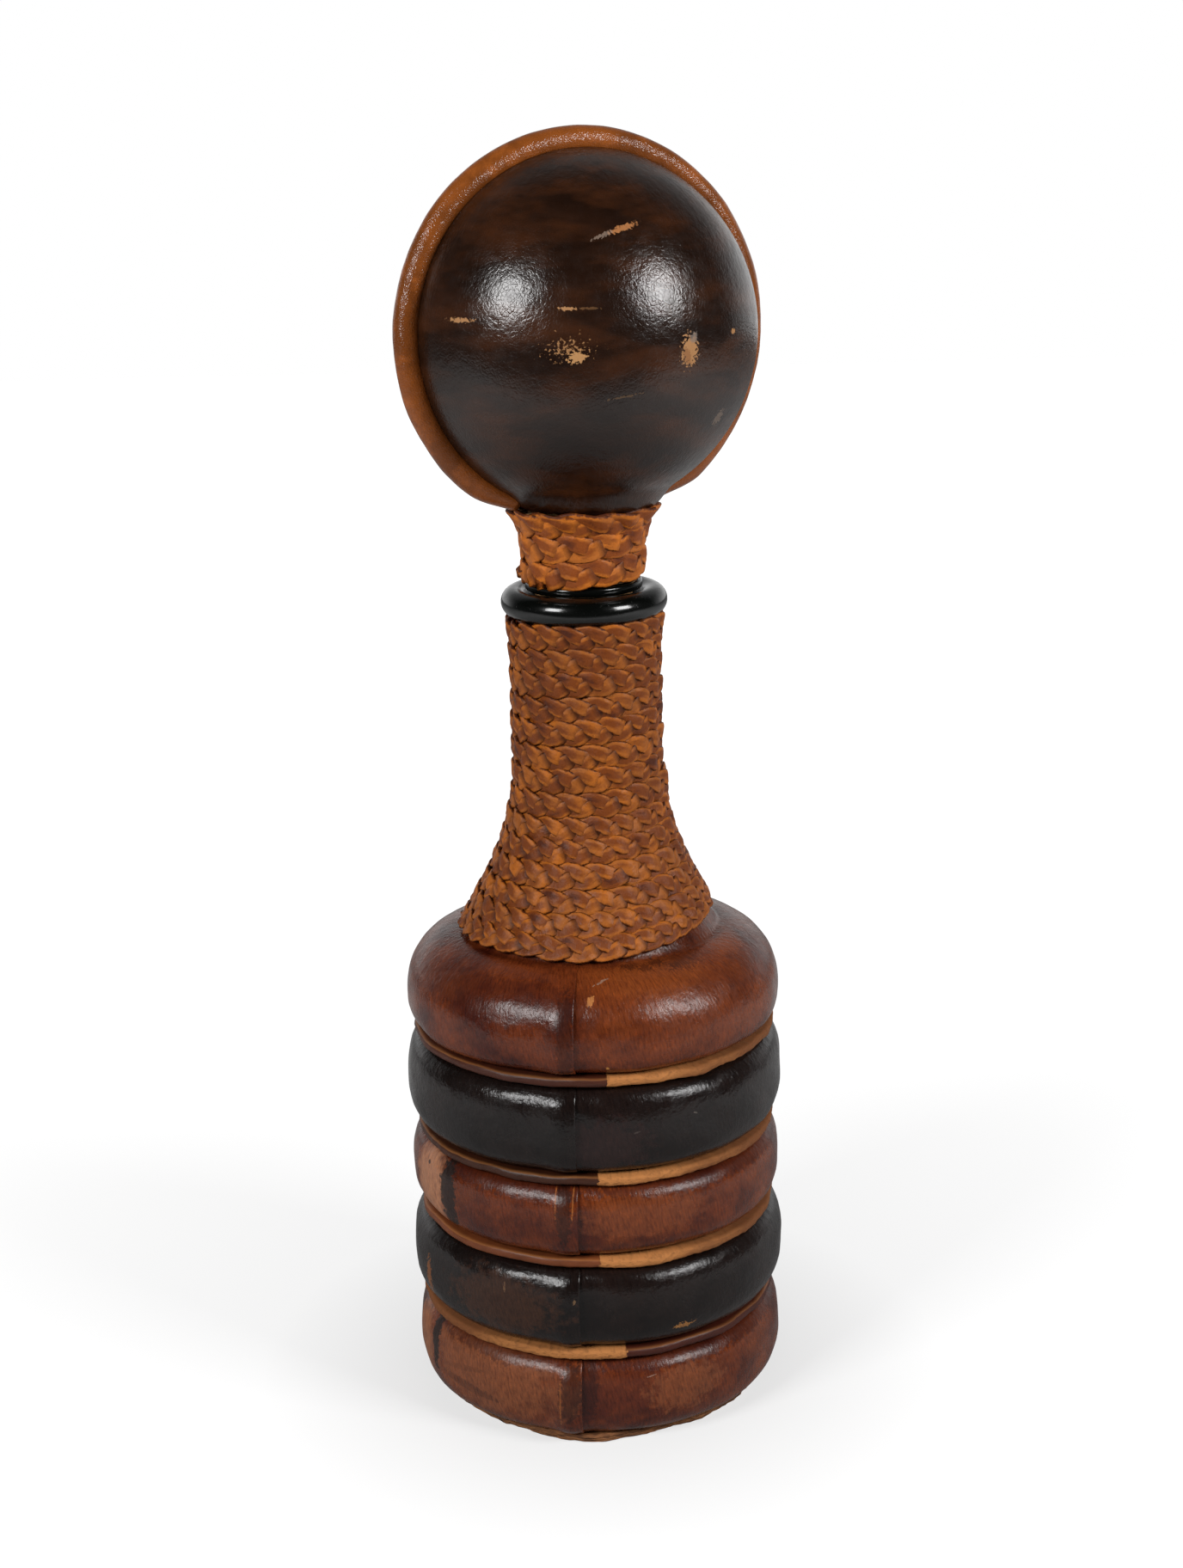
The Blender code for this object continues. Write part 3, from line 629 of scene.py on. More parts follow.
def ball_leather(name, marks):
    """Thin calf, dyed nearly black, stretched over a wooden ball and polished.

    Brown shows through the black dye in level streaks, fine creases and pores break up the highlights, and
    the raised places are worn through to raw tan.
    """
    made, tree, wrap = new_material(name, wrapped=True)
    middle = shades().ball
    dark = scaled(middle, 0.45)
    brown = dyed(middle, 2.6, 2.1, 1.4)
    tone = tinted(tree, opaque(dark), middle, cloud(tree, wrap, 0.020, stretch=(2.2, 0.7, 1)), (0.36, 0.60))
    tone = tinted(tree, tone, brown, cloud(tree, wrap, 0.016, stretch=(2.6, 0.8, 1)), (0.46, 0.74))
    tone = tinted(tree, tone, dark, cloud(tree, wrap, 0.0006, detail=2, stretch=(2, 2, 1)), (0.55, 0.8), 0.35)
    rough = patches(tree, wrap, 0.004, (0.35, 0.65), (0.18, 0.27))
    tone, rough = marked(tree, wrap, tone, rough, marks, 0.75)
    cells = add(tree, "ShaderNodeTexVoronoi", {"Vector": wrap, "Scale": 1 / 0.0013},
                feature="DISTANCE_TO_EDGE")
    creases = add(tree, "ShaderNodeMapRange", {0: cells, 2: 0.2, 4: 0.02})
    swell = patches(tree, wrap, 0.003, (0.3, 0.7), (0.0, 0.06), detail=4)
    surface(tree, tone, rough, [creases, swell])
    return made


def plait_leather(name, middle):
    """Strands of vegetable-tanned leather, dyed orange tan, rubbed brown where they stand out.

    Each crossing took the dye and the hands' grease its own way: red-brown on the raised middle, nearly
    black on some, and orange at the sides, with painted shade as thin dark lines at the edges and in the dips
    where a strand goes under the others, and fine creases across.
    """
    made, tree, strip = new_material(name, wrapped=True)
    place = add(tree, "ShaderNodeTexCoord", out="Object")
    across, raised, handled = [add(tree, "ShaderNodeAttribute", attribute_name=kept, out="Fac")
                               for kept in ("edge", "raised", "handled")]
    dark = dyed(middle, 0.12, 0.07, 0.10)
    black = dyed(middle, 0.20, 0.14, 0.30)
    brown = dyed(middle, 0.52, 0.40, 0.35)
    light = dyed(middle, 1.35, 1.28, 0.75)
    tone = tinted(tree, opaque(middle), light, cloud(tree, place, 0.010), (0.42, 0.62))
    specks = cloud(tree, strip, 0.0012, detail=5)
    fray = add(tree, "ShaderNodeMapRange", {0: specks, 1: 0.3, 2: 0.7, 3: -0.12, 4: 0.12})
    across = add(tree, "ShaderNodeMath", {0: across, 1: fray}, operation="ADD")
    tone = tinted(tree, tone, brown, specks, (0.54, 0.72), 0.6)
    rubbed = add(tree, "ShaderNodeMapRange", {0: across, 1: 0.30, 2: 0.86, 3: 0.45, 4: -0.55})
    patch = patches(tree, strip, 0.006, (0.3, 0.7), (-0.5, 0.5), detail=4, stretch=(1.5, 1, 1))
    out = add(tree, "ShaderNodeMath", {0: raised, 1: 0.35}, operation="MULTIPLY")
    for share in (patch, out, handled):
        rubbed = add(tree, "ShaderNodeMath", {0: rubbed, 1: share}, operation="ADD")
    tone = tinted(tree, tone, brown, rubbed, (0.0, 0.55), 0.95)
    tone = tinted(tree, tone, black, rubbed, (0.95, 1.35), 0.9)
    # Thin dark lines at the strands' edges: painted shade of the creases between strands.
    tone = tinted(tree, tone, dark, across, (0.80, 0.97), 0.95)
    # Darker where a strand dips under the others: painted shade.
    tone = tinted(tree, tone, dark, raised, (-0.25, -0.95), 0.8)
    creases = cloud(tree, strip, 0.0009, stretch=(0.7, 2.0, 1))
    tone = tinted(tree, tone, brown, creases, (0.55, 0.75), 0.35)
    rough = patches(tree, place, 0.004, (0.35, 0.65), (0.42, 0.60))
    wrinkles = add(tree, "ShaderNodeMapRange", {0: creases, 1: 0.3, 2: 0.7, 4: 0.08})
    swell = patches(tree, strip, 0.003, (0.3, 0.7), (0.0, 0.16))
    surface(tree, tone, rough, [wrinkles, swell], shine=0.24)
    return made


def piping_leather():
    """Thin tan calf rolled over a cord, with a fine pebbled grain and a satin shine."""
    made, tree, place = new_material("tan piping calf")
    middle = shades().piping
    dark = scaled(middle, 0.55)
    light = scaled(middle, 1.35)
    tone = tinted(tree, opaque(dark), middle, cloud(tree, place, 0.016), (0.38, 0.62))
    tone = tinted(tree, tone, light, cloud(tree, place, 0.007), (0.52, 0.70), 0.7)
    cells = add(tree, "ShaderNodeTexVoronoi", {"Vector": place, "Scale": 1 / 0.0007},
                feature="DISTANCE_TO_EDGE")
    tone = tinted(tree, tone, dark, cells, (0.12, 0.0), 0.35)
    rough = patches(tree, place, 0.005, (0.35, 0.65), (0.24, 0.34))
    pebbles = add(tree, "ShaderNodeMapRange", {0: cells, 2: 0.3, 4: 0.05})
    surface(tree, tone, rough, [pebbles], coat=0.45, shine=0.12)
    return made


def welt_leather(name, centre, half, shade):
    """A narrow strip of thick leather in two lengths: one with its dyed skin, the other raw and frayed.

    The raw part is pale tan suede with short fibres that stand off it. The part with its skin, whose centre
    and half length are given in millimetres, is darker and smoother, with a worn orange line along its upper
    edge.
    """
    made, tree, wrap = new_material(name, wrapped=True)
    raw = shades().welt
    dye = colour(shade)
    along = add(tree, "ShaderNodeSeparateXYZ", {0: wrap}, out="X")
    up = add(tree, "ShaderNodeSeparateXYZ", {0: wrap}, out="Y")
    fibres = cloud(tree, wrap, 0.0006, detail=4, stretch=(3, 1.2, 1))
    blots = cloud(tree, wrap, 0.008, detail=4, stretch=(2.5, 0.6, 1))
    around = add(tree, "ShaderNodeMath", {0: along}, operation="ABSOLUTE")
    # The raw leather turns browner away from the front toward the sides, and in blots.
    browner_to_sides = add(tree, "ShaderNodeMapRange", {0: around, 1: 0.020, 2: 0.060, 3: -0.20, 4: 0.45})
    browner_to_sides = add(tree, "ShaderNodeMath", {0: browner_to_sides, 1: blots}, operation="ADD")
    suede = tinted(tree, opaque(raw), dyed(raw, 0.42, 0.36, 0.36), browner_to_sides, (0.30, 0.75))
    suede = tinted(tree, suede, scaled(raw, 0.30), fibres, (0.50, 0.70), 0.6)
    stains = cloud(tree, wrap, 0.004, detail=4, stretch=(2.5, 1, 1))
    skin = tinted(tree, opaque(dye), scaled(dye, 0.35), stains, (0.35, 0.65), 0.5)
    from_line = add(tree, "ShaderNodeMath", {0: up, 1: 0.00115}, operation="SUBTRACT")
    from_line = add(tree, "ShaderNodeMath", {0: from_line}, operation="ABSOLUTE")
    worn = add(tree, "ShaderNodeMapRange", {0: from_line, 1: 0.00026, 2: 0.00010, 4: 0.6})
    worn = add(tree, "ShaderNodeMath", {0: worn, 1: blots}, operation="MULTIPLY")
    skin = add(tree, "ShaderNodeMix", {0: worn, 6: skin, 7: opaque(raw)}, out=2, data_type="RGBA")
    torn = patches(tree, wrap, 0.0014, (0.3, 0.7), (-0.0007, 0.0007))
    along = add(tree, "ShaderNodeMath", {0: along, 1: torn}, operation="ADD")
    along = add(tree, "ShaderNodeMath", {0: along, 1: centre / 1000}, operation="SUBTRACT")
    along = add(tree, "ShaderNodeMath", {0: along}, operation="ABSOLUTE")
    skinned = add(tree, "ShaderNodeMapRange", {0: along, 1: (half + 0.15) / 1000, 2: (half - 0.15) / 1000})
    tone = add(tree, "ShaderNodeMix", {0: skinned, 6: suede, 7: skin}, out=2, data_type="RGBA")
    rough = add(tree, "ShaderNodeMix", {0: skinned, 2: 0.85, 3: 0.45})
    depth = add(tree, "ShaderNodeMix", {0: skinned, 2: 0.45, 3: 0.06})
    fluff = add(tree, "ShaderNodeMath", {0: fibres, 1: depth}, operation="MULTIPLY")
    surface(tree, tone, rough, [fluff], shine=0.35)
    return made


def sole_leather():
    """Thick sole leather with a rough cut edge, in pale layers stained by use."""
    made, tree, place = new_material("sole leather")
    layers = cloud(tree, place, 0.004, detail=4, stretch=(1, 1, 0.10))
    tone = tinted(tree, opaque(colour("5E381E")), colour("A0683C"), layers, (0.36, 0.62))
    tone = tinted(tree, tone, colour("3A2012"), cloud(tree, place, 0.012), (0.50, 0.66), 0.6)
    steps = add(tree, "ShaderNodeMapRange", {0: layers, 1: 0.3, 2: 0.7, 4: 0.35})
    surface(tree, tone, 0.82, [steps])
    return made


def bottle_glass():
    """Dark green bottle glass, blown and fire-polished, so it is nearly black with sharp reflections."""
    made, tree, place = new_material("dark green bottle glass")
    waves = patches(tree, place, 0.008, (0.3, 0.7), (0.0, 0.03))
    normal = add(tree, "ShaderNodeBump", {"Height": waves, "Strength": 1.0, "Distance": 0.001})
    dust = patches(tree, place, 0.0011, (0.62, 0.74), (0.17, 0.5), detail=4)
    shader = add(tree, "ShaderNodeBsdfPrincipled", {
        "Base Color": opaque(shades().glass), "Roughness": dust, "IOR": 1.52, "Transmission Weight": 0.25,
        "Normal": normal})
    add(tree, "ShaderNodeOutputMaterial", {"Surface": shader})
    return made


def fibrous(name, size, detail, dark, light, roughness, relief):
    """A material of matted fibres between two shades, which stand up by the relief in millimetres."""
    made, tree, place = new_material(name)
    fibres = cloud(tree, place, size, detail)
    tone = tinted(tree, opaque(colour(dark)), colour(light), fibres, (0.35, 0.65))
    fluff = add(tree, "ShaderNodeMapRange", {0: fibres, 1: 0.3, 2: 0.7, 4: relief})
    surface(tree, tone, roughness, [fluff])
    return made


def wool_felt():
    """Grey-white wool felt, whose matted fibres scatter all light."""
    return fibrous("wool felt", 0.0010, 5, "9C9384", "C9C2B4", 0.95, 0.3)


def cotton_cord():
    """Three-ply cotton cord, undyed."""
    return fibrous("cotton cord", 0.0006, 4, "B9AD95", "D8CEB9", 0.95, 0.15)


def fibre_board():
    """Pressed grey-brown fibre board."""
    return fibrous("fibre board", 0.0015, 5, "6F573F", "957A5B", 0.9, 0.1)


def natural_cork():
    """Punched cork: pale brown grains with darker pores between them."""
    made, tree, place = new_material("natural cork")
    grains = add(tree, "ShaderNodeTexVoronoi", {"Vector": place, "Scale": 1 / 0.0022}, feature="F1")
    tone = tinted(tree, opaque(colour("C39A6B")), colour("A87B4C"), grains, (0, 1))
    holes = cloud(tree, place, 0.0020, stretch=(1, 1, 2.5))
    tone = tinted(tree, tone, colour("5C3A20"), holes, (0.60, 0.68))
    pores = add(tree, "ShaderNodeMapRange", {0: holes, 1: 0.60, 2: 0.68, 4: -0.25})
    surface(tree, tone, 0.85, [pores])
    return made


def beech_wood():
    """Turned beech: pale pinkish brown with short dark flecks along the grain."""
    made, tree, place = new_material("turned beech")
    rings = cloud(tree, place, 0.004, detail=2, stretch=(1, 1, 8))
    flecks = cloud(tree, place, 0.0006, detail=1, stretch=(1, 1, 5))
    tone = tinted(tree, opaque(colour("B78E60")), colour("CDA87B"), rings, (0.35, 0.65))
    tone = tinted(tree, tone, colour("85603A"), flecks, (0.62, 0.70), 0.6)
    grain = add(tree, "ShaderNodeMapRange", {0: flecks, 1: 0.3, 2: 0.7, 4: 0.02})
    surface(tree, tone, 0.55, [grain])
    return made


# Marks on the unrolled leather, and on the covers some strips of painted shade: centre and half size in
# millimetres, turn in degrees, shade, strength and raggedness. A cover's X runs to the right from the front
# and its Y down from its upper edge.
COVER_MARKS_AND_SHADE = {
    1: [
        # Wide dark strips at the height of the highlights: painted shade on the upward-facing part.
        (322, -17, 44, 7, 0, "3C140C", 0.45, 0.40),
        (64, -16, 40, 6, 0, "3C140C", 0.40, 0.40),
        (27, -19, 34, 20, 0, "7E3C18", 0.45, 0.25),
        (24, -8, 20, 8, 0, "8A461C", 0.45, 0.30),
        (39, -4, 12, 4, 0, "3E1A0E", 0.50, 1.00),
        (15, -3.0, 3.0, 1.8, 0, "32140A", 0.60, 0.90),
        (21, -4.5, 2.6, 1.8, 0, "32140A", 0.55, 0.90),
        (27, -2.5, 3.4, 2.0, 0, "32140A", 0.55, 0.90),
        (33, -6.0, 2.4, 1.4, 0, "32140A", 0.50, 0.90),
        # A dark strip beside the seam's lap: dye and glue residue, and painted shadow of the lap.
        (351.5, -27, 2.4, 15, 0, "2A110A", 0.50, 0.40),
        (-0.8, -16.2, 1.0, 1.8, -20, "B9773F", 0.85, 0.50),
        (3.3, -9.5, 2.6, 0.4, 30, "A08C7C", 0.50, 0.80),
        (4.0, -36.8, 0.5, 0.5, 0, "C98A45", 0.90, 0.30),
    ],
    2: [
        (12, -20, 1.2, 0.25, 15, "6A625C", 0.50, 0.60),
        (31, -17, 0.9, 0.25, -30, "6A625C", 0.50, 0.60),
        (2, -24, 14, 8, 0, "2E1A18", 0.50, 0.40),
    ],
    3: [
        # Wide dark strips at the height of the highlights: painted shade on the upward-facing part.
        (332, -7, 30, 4, 0, "3A120B", 0.60, 0.40),
        (46, -7, 54, 4, 0, "3A120B", 0.60, 0.40),
        (14, -16, 18, 7, 0, "7E4222", 0.45, 0.30),
        (296, -19, 9.5, 15, 0, "B27A58", 0.90, 0.15),
        (308, -17.5, 3.6, 13, 4, "1A100D", 0.92, 0.35),
        (295.3, -11.2, 0.9, 0.7, 0, "2A140C", 0.90, 0.30),
        (350, -13, 2.2, 11, 0, "24100A", 0.65, 0.40),
        (347.5, -9, 0.20, 5.5, 2, "A8642E", 0.60, 0.50),
        (352.8, -10, 0.25, 6.5, -2, "A8642E", 0.60, 0.50),
    ],
    4: [
        (333, -20, 18, 9, 0, "4A2C1C", 0.55, 0.40),
        (299, -23, 1.6, 6, 0, "8A5226", 0.80, 0.60),
        (26.1, -27, 3.0, 0.8, 0, "A8743E", 0.80, 0.90),
        (334.8, -14.3, 0.35, 1.7, 0, "7A5A40", 0.60, 0.50),
        (357.0, -15.6, 0.4, 0.9, 0, "8A6A4A", 0.50, 0.50),
    ],
    5: [
        (322, -15, 27, 14, 0, "8C5232", 0.70, 0.30),
        (284, -20, 8, 13, 0, "A0643F", 0.85, 0.20),
        (296, -13.5, 2.4, 11, 3, "140C09", 0.92, 0.35),
        (314, -22.5, 12, 1.5, -4, "38190E", 0.45, 0.40),
        (312, -17.0, 9, 1.0, 12, "4A2414", 0.30, 0.40),
        (6, -16, 11, 12, 0, "4A1C14", 0.50, 0.40),
        # Wide dark strips at the height of the highlights: painted shade on the upward-facing part.
        (325, -6.5, 28, 3.5, 0, "3A120B", 0.50, 0.40),
        (46, -6.5, 54, 4, 0, "3A120B", 0.60, 0.40),
        (27, -17.5, 12, 7, 0, "8A5030", 0.50, 0.35),
        # A dark strip beside the seam's lap: dye and glue residue, and painted shadow of the lap.
        (351, -15.5, 3.2, 10, 0, "200E0A", 0.60, 0.40),
        (-4, -14, 3.0, 11, 0, "2A100C", 0.60, 0.40),
        (347.8, -19, 0.22, 7, 0, "A8642E", 0.55, 0.50),
        (15.3, -11.9, 1.8, 0.2, 10, "A08070", 0.60, 0.60),
    ],
}
# The length of each welt that still has its skin: its centre and half length along the welt, and its shade
WELT_SKINS = {1: (-86.4, 90, "4C2314"), 2: (-89.5, 90, "42200F"), 3: (-89.5, 90, "7A4020"),
              4: (98, 90, "4A1E12")}
# A half ball's X and Y are measured along its surface from the middle of its face.
BALL_MARKS = [
    (-5.6, 35.0, 5.6, 0.9, 15, "B07038", 0.85, 0.80),
    (-13.2, 32.9, 3.6, 0.7, 20, "8A7464", 0.60, 0.90),
    (-59.2, 7.5, 4.0, 0.6, 0, "B98450", 0.90, 0.80),
    (-25.8, 11.2, 2.6, 0.45, 0, "B98450", 0.80, 0.80),
    (-19.5, 11.2, 3.6, 0.30, 0, "B98450", 0.18, 1.00),
    (-25.8, -0.2, 4.9, 2.6, 0, "B98450", 0.75, 2.20),
    (-23.2, -2.6, 2.6, 1.4, 10, "C08C56", 0.90, 0.80),
    (12.2, -2.2, 2.7, 4.2, 0, "B98450", 0.92, 0.70),
    (11.2, -3.6, 1.2, 2.2, 20, "8E5A2E", 0.70, 0.50),
    (13.6, 1.4, 1.4, 1.4, 0, "7E7066", 0.70, 0.80),
    (31.6, 1.7, 1.0, 0.8, 0, "B98450", 0.85, 0.50),
    (-9.4, -14.7, 4.0, 0.3, 8, "8A6A48", 0.28, 1.00),
    (31.9, -24.7, 2.4, 2.0, 45, "75665C", 0.75, 0.80),
]


# Pieces
def cover_profile(number):
    """A cover's outside, where the shoulder's leather goes on up the neck under the plait."""
    if number > 1:
        return band_lines(number)
    heights = np.linspace(FOOT_HEIGHT + NECK_TUCK, FOOT_HEIGHT, 8)
    return [(shaft_radius_at(height), height) for height in heights] + shoulder_lines()


def dressed_cover(number):
    """A leather strip stretched over its padding, whose end laps over its start at the seam."""
    profile = evenly(cover_profile(number), COVER_STEP)
    whole = FULL_TURN + sizes().lap
    cover = turned("cover_%d" % number, profile, BODY_STEPS, start=STRIP_START, sweep=COVER_SWEEP)
    points = points_of(cover)
    radius, angle = polar(points)
    turn = np.mod(angle - STRIP_START + START_PLAY, FULL_TURN) - START_PLAY
    share = np.clip(turn / COVER_SWEEP, 0, 1)
    turn = whole * (share - SEAM_CROWDING * np.sin(FULL_TURN * share) / FULL_TURN)
    line = np.array(profile)
    run = run_along(line)
    nearest = np.argmin(np.hypot(radius[:, None] - line[:, 0], points[:, 2, None] - line[:, 1]), axis=1)
    rim = run[np.argmin(np.abs(line[:, 1] - FOOT_HEIGHT))] if number == 1 else 0
    down = np.clip((run[nearest] - rim) / (run[-1] - rim), 0, 1)
    widest = band_radius(number)
    fullness = np.clip((radius - FLANGE_RADIUS) / (widest - FLANGE_RADIUS), 0, 1)
    if number == 1:
        fullness = np.where(points[:, 2] > SHOULDER_EQUATOR, ease(down, 0, 0.25), fullness)
    start_side = turn * widest
    end_side = (whole - turn) * widest
    lap = sizes().lap * widest
    moved = -(sizes().leather + LAP_GAP) * (1 - ease(start_side, lap, lap + LAP_SLOPE))
    ridge = sizes().ridge * np.exp(-(np.minimum(start_side, np.abs(end_side - lap)) / RIDGE_SPREAD) ** 2)
    ridge *= (0.6 + 0.9 * down) * (1.5 if number == 5 else 1)
    from_hollow = np.minimum(start_side, end_side) - HOLLOW_PLACE
    moved += ridge - HOLLOW_DEPTH * np.exp(-(from_hollow / HOLLOW_SPREAD) ** 2)
    angle = STRIP_START + turn
    at = unpolar(radius, angle, points[:, 2])
    uneven = 0.00022 * ripple(at, 0.030, number) + 0.00010 * ripple(at, 0.011, number + 20)
    radius = radius + fullness * (moved + uneven * ease(end_side, 0, LAP_SLOPE))
    height = points[:, 2] + 0.0002 * fullness * ripple(at, 0.026, number + 40)
    move_points(cover, unpolar(radius, angle, height))
    # Nearness to the cover's upper and lower edges, where the leather is darkened: collected dye and painted
    # shade.
    upper = 1 - 2 * down
    groove_dye_and_shade = np.maximum(-upper, 0.76 * upper if number == 1 else upper)
    write_wrap(cover, widest * (turn + STRIP_START - FRONT), rim - run[nearest], edge=groove_dye_and_shade)
    give_wall(cover, sizes().leather)
    return cover


def cover_shades(number):
    """A cover's dark, middle and light shade."""
    if number % 2:
        middle = shades().brown
        return dyed(middle, 0.40, 0.32, 0.55), middle, dyed(middle, 1.55, 1.75, 1.4)
    middle = shades().black
    return scaled(middle, 0.5), middle, dyed(middle, 1.5, 1.25, 1.15)


def padding_ring(number):
    """The felt that fills a cover, wound round the glass."""
    filled = offset(evenly(band_lines(number), PADDING_STEP), -sizes().leather - PADDING_GAP)
    if number == 1:
        glass = offset(glass_outline(), SEAT_GAP)
        inner = [point for point in glass if filled[-1][1] < point[1] < filled[0][1]]
        profile = filled[:-1] + [(GLASS_RADIUS + SEAT_GAP, filled[-2][1])] + inner[::-1]
    else:
        inner = FLANGE_RADIUS if number == 5 else GLASS_RADIUS + SEAT_GAP
        profile = [(inner, filled[1][1])] + filled[1:-1] + [(inner, filled[-2][1])]
    return turned("padding_%d" % number, profile + profile[:1], SMALL_STEPS)


def welt_ring(number):
    """A narrow strip of thick leather between two bands, with a cut edge."""
    groove = GROOVES[4 - number]
    half = WELT_THICKNESS / 2
    inner = GLASS_RADIUS + SEAT_GAP
    corner_radius = WELT_RADIUS - WELT_CORNER
    face_half = half - WELT_PLAY - WELT_CORNER
    face = arc((corner_radius, groove + face_half), WELT_CORNER, 90, 0, 5)
    face += arc((corner_radius, groove - face_half), WELT_CORNER, 0, -90, 5)
    profile = [(inner, groove + half), (WELT_RADIUS - WELT_BARE, groove + half)] + face
    profile += [(WELT_RADIUS - WELT_BARE, groove - half), (inner, groove - half)]
    ring = turned("welt_strip_%d" % number, evenly(profile + profile[:1], WELT_STEP), WELT_STEPS)
    points = points_of(ring)
    radius, angle = polar(points)
    out = ease(radius, WELT_RADIUS - 0.005, WELT_RADIUS)
    along = WELT_RADIUS * (np.mod(angle - FRONT + math.pi, FULL_TURN) - math.pi)
    centre, skin_half = (length / 1000 for length in WELT_SKINS[number][:2])
    frayed = ease(np.abs(along - centre), skin_half, skin_half + 0.002)
    grown = 0.0003 * ripple(points, 0.02, number) + 0.0001 * ripple(points, 0.003, number + 9)
    grown += frayed * (0.0001 * ripple(points, 0.006, number + 18) + 0.0002)
    height = points[:, 2] + out * 0.00025 * ripple(points, 0.015, number + 30)
    height -= out * frayed * 0.0001 * (points[:, 2] < groove) * (1 + ripple(points, 0.003, number + 50))
    move_points(ring, unpolar(radius + out * grown, angle, height))
    write_wrap(ring, along, points[:, 2] - groove)
    return ring


def sole_disc():
    """The round of sole leather under the bands, with a cut edge in layers."""
    edge = [(SOLE_RADIUS - cut, SOLE_TOP * share) for cut, share in SOLE_EDGE]
    flat = [(0, SOLE_TOP), (SOLE_FLAT, SOLE_TOP)]
    disc = turned("sole", flat + edge + [(SOLE_FLAT, 0), (0, 0)], SOLE_STEPS)
    points = points_of(disc)
    radius, angle = polar(points)
    out = ease(radius, SOLE_RADIUS - 0.002, SOLE_RADIUS)
    from_seam = angle + FULL_TURN - STRIP_START - sizes().lap
    corner = SOLE_CORNER * np.exp(-(from_seam / SOLE_CORNER_SPREAD) ** 2)
    grown = SOLE_GROWTH + corner + 0.0004 * ripple(points, 0.014, 5) + 0.00025 * ripple(points, 0.0025, 6)
    scale = np.where(radius > 0, (radius + out * grown) / np.maximum(radius, 1e-9), 1)
    points[:, :2] *= scale[:, None]
    move_points(disc, points)
    return disc


def bottle_shell():
    """One turned shell of glass: up the inside, over the lip and down the outside."""
    outline = glass_outline()
    floor = GLASS_BASE + GLASS_FLOOR
    inner_radius = GLASS_RADIUS - GLASS_WALL
    inner_heel = arc((inner_radius - GLASS_HEEL, floor + GLASS_HEEL), GLASS_HEEL, -90, 0, 6)
    mouth = bulge((LIP_CENTRE_RADIUS, LIP_TOP - MOUTH_DEPTH), (LIP_CENTRE_RADIUS - BORE_RADIUS, MOUTH_DEPTH),
                  2, 180, 90, 10)
    bead = arc((LIP_CENTRE_RADIUS, LIP_HEIGHT), LIP_BEAD, 90, -90, 16)
    heel = arc((GLASS_RADIUS - GLASS_HEEL, GLASS_BASE + GLASS_HEEL), GLASS_HEEL, 0, -90, 6)
    inside = [(0, floor)] + inner_heel + offset(outline, -GLASS_WALL)[::-1]
    outside = bead[1:] + outline + heel + [(0, GLASS_BASE)]
    return turned("glass_shell", inside + mouth + outside, SMALL_STEPS)


def neck_sheet():
    """The leather round the neck, between the glass and the plait."""
    foot = FOOT_HEIGHT + NECK_TUCK + SEAT_GAP
    outside = [point for point in shaft_profile(100) if point[1] > foot]
    sheet = turned("liner", outside[::-1], SMALL_STEPS)
    points = points_of(sheet)
    write_wrap(sheet, SHAFT_RADIUS * polar(points)[1], points[:, 2], edge=np.zeros(len(points)))
    give_wall(sheet, LINER_THICKNESS)
    return sheet


def strand_section(name, width, thickness):
    """A strand's section, a flat oval that is wide along Y."""
    bpy.ops.object.select_all(action="DESELECT")
    bpy.ops.curve.primitive_nurbs_circle_add(enter_editmode=True)
    bpy.ops.curve.spline_type_set(type="POLY")
    bpy.ops.curve.subdivide()
    bpy.ops.object.mode_set(mode="OBJECT")
    section = bpy.context.object
    section.name = name
    section.data.dimensions = "2D"
    section.data.fill_mode = "NONE"
    points = section.data.splines[0].points
    turns = np.linspace(0, FULL_TURN, len(points), endpoint=False)
    across = rounded(np.cos(turns), STRAND_FULLNESS) * width / 2
    up = rounded(np.sin(turns), STRAND_FLATNESS) * thickness / 2
    flat = np.column_stack([up, across, np.zeros(len(points)), np.ones(len(points))])
    points.foreach_set("co", flat.astype(np.float32).ravel())
    return section


def strand(name, centres, tilt, radius, section):
    """Sweeps the section along a strand's middle line and gives the mesh."""
    bpy.ops.object.select_all(action="DESELECT")
    bpy.ops.curve.primitive_nurbs_path_add(enter_editmode=True)
    bpy.ops.curve.spline_type_set(type="POLY")
    bpy.ops.object.mode_set(mode="OBJECT")
    made = bpy.context.object
    made.name = name
    shape = made.data
    shape.dimensions = "3D"
    shape.twist_mode = "Z_UP"
    shape.bevel_mode = "OBJECT"
    shape.bevel_object = section
    shape.use_fill_caps = True
    points = shape.splines[0].points
    points.add(len(centres) - len(points))
    points.foreach_set("co", np.column_stack([centres, np.ones(len(centres))]).astype(np.float32).ravel())
    points.foreach_set("tilt", np.asarray(tilt, np.float32))
    points.foreach_set("radius", np.asarray(radius, np.float32))
    select_only(made)
    bpy.ops.object.convert(target="MESH")
    made = bpy.context.object
    bpy.ops.object.shade_smooth()
    return made


def wander(random, along, count):
    """Random values from -1 to 1 at so many even places, joined by straight lines."""
    return np.interp(along, np.linspace(0, along[-1], count), random.uniform(-1, 1, count))


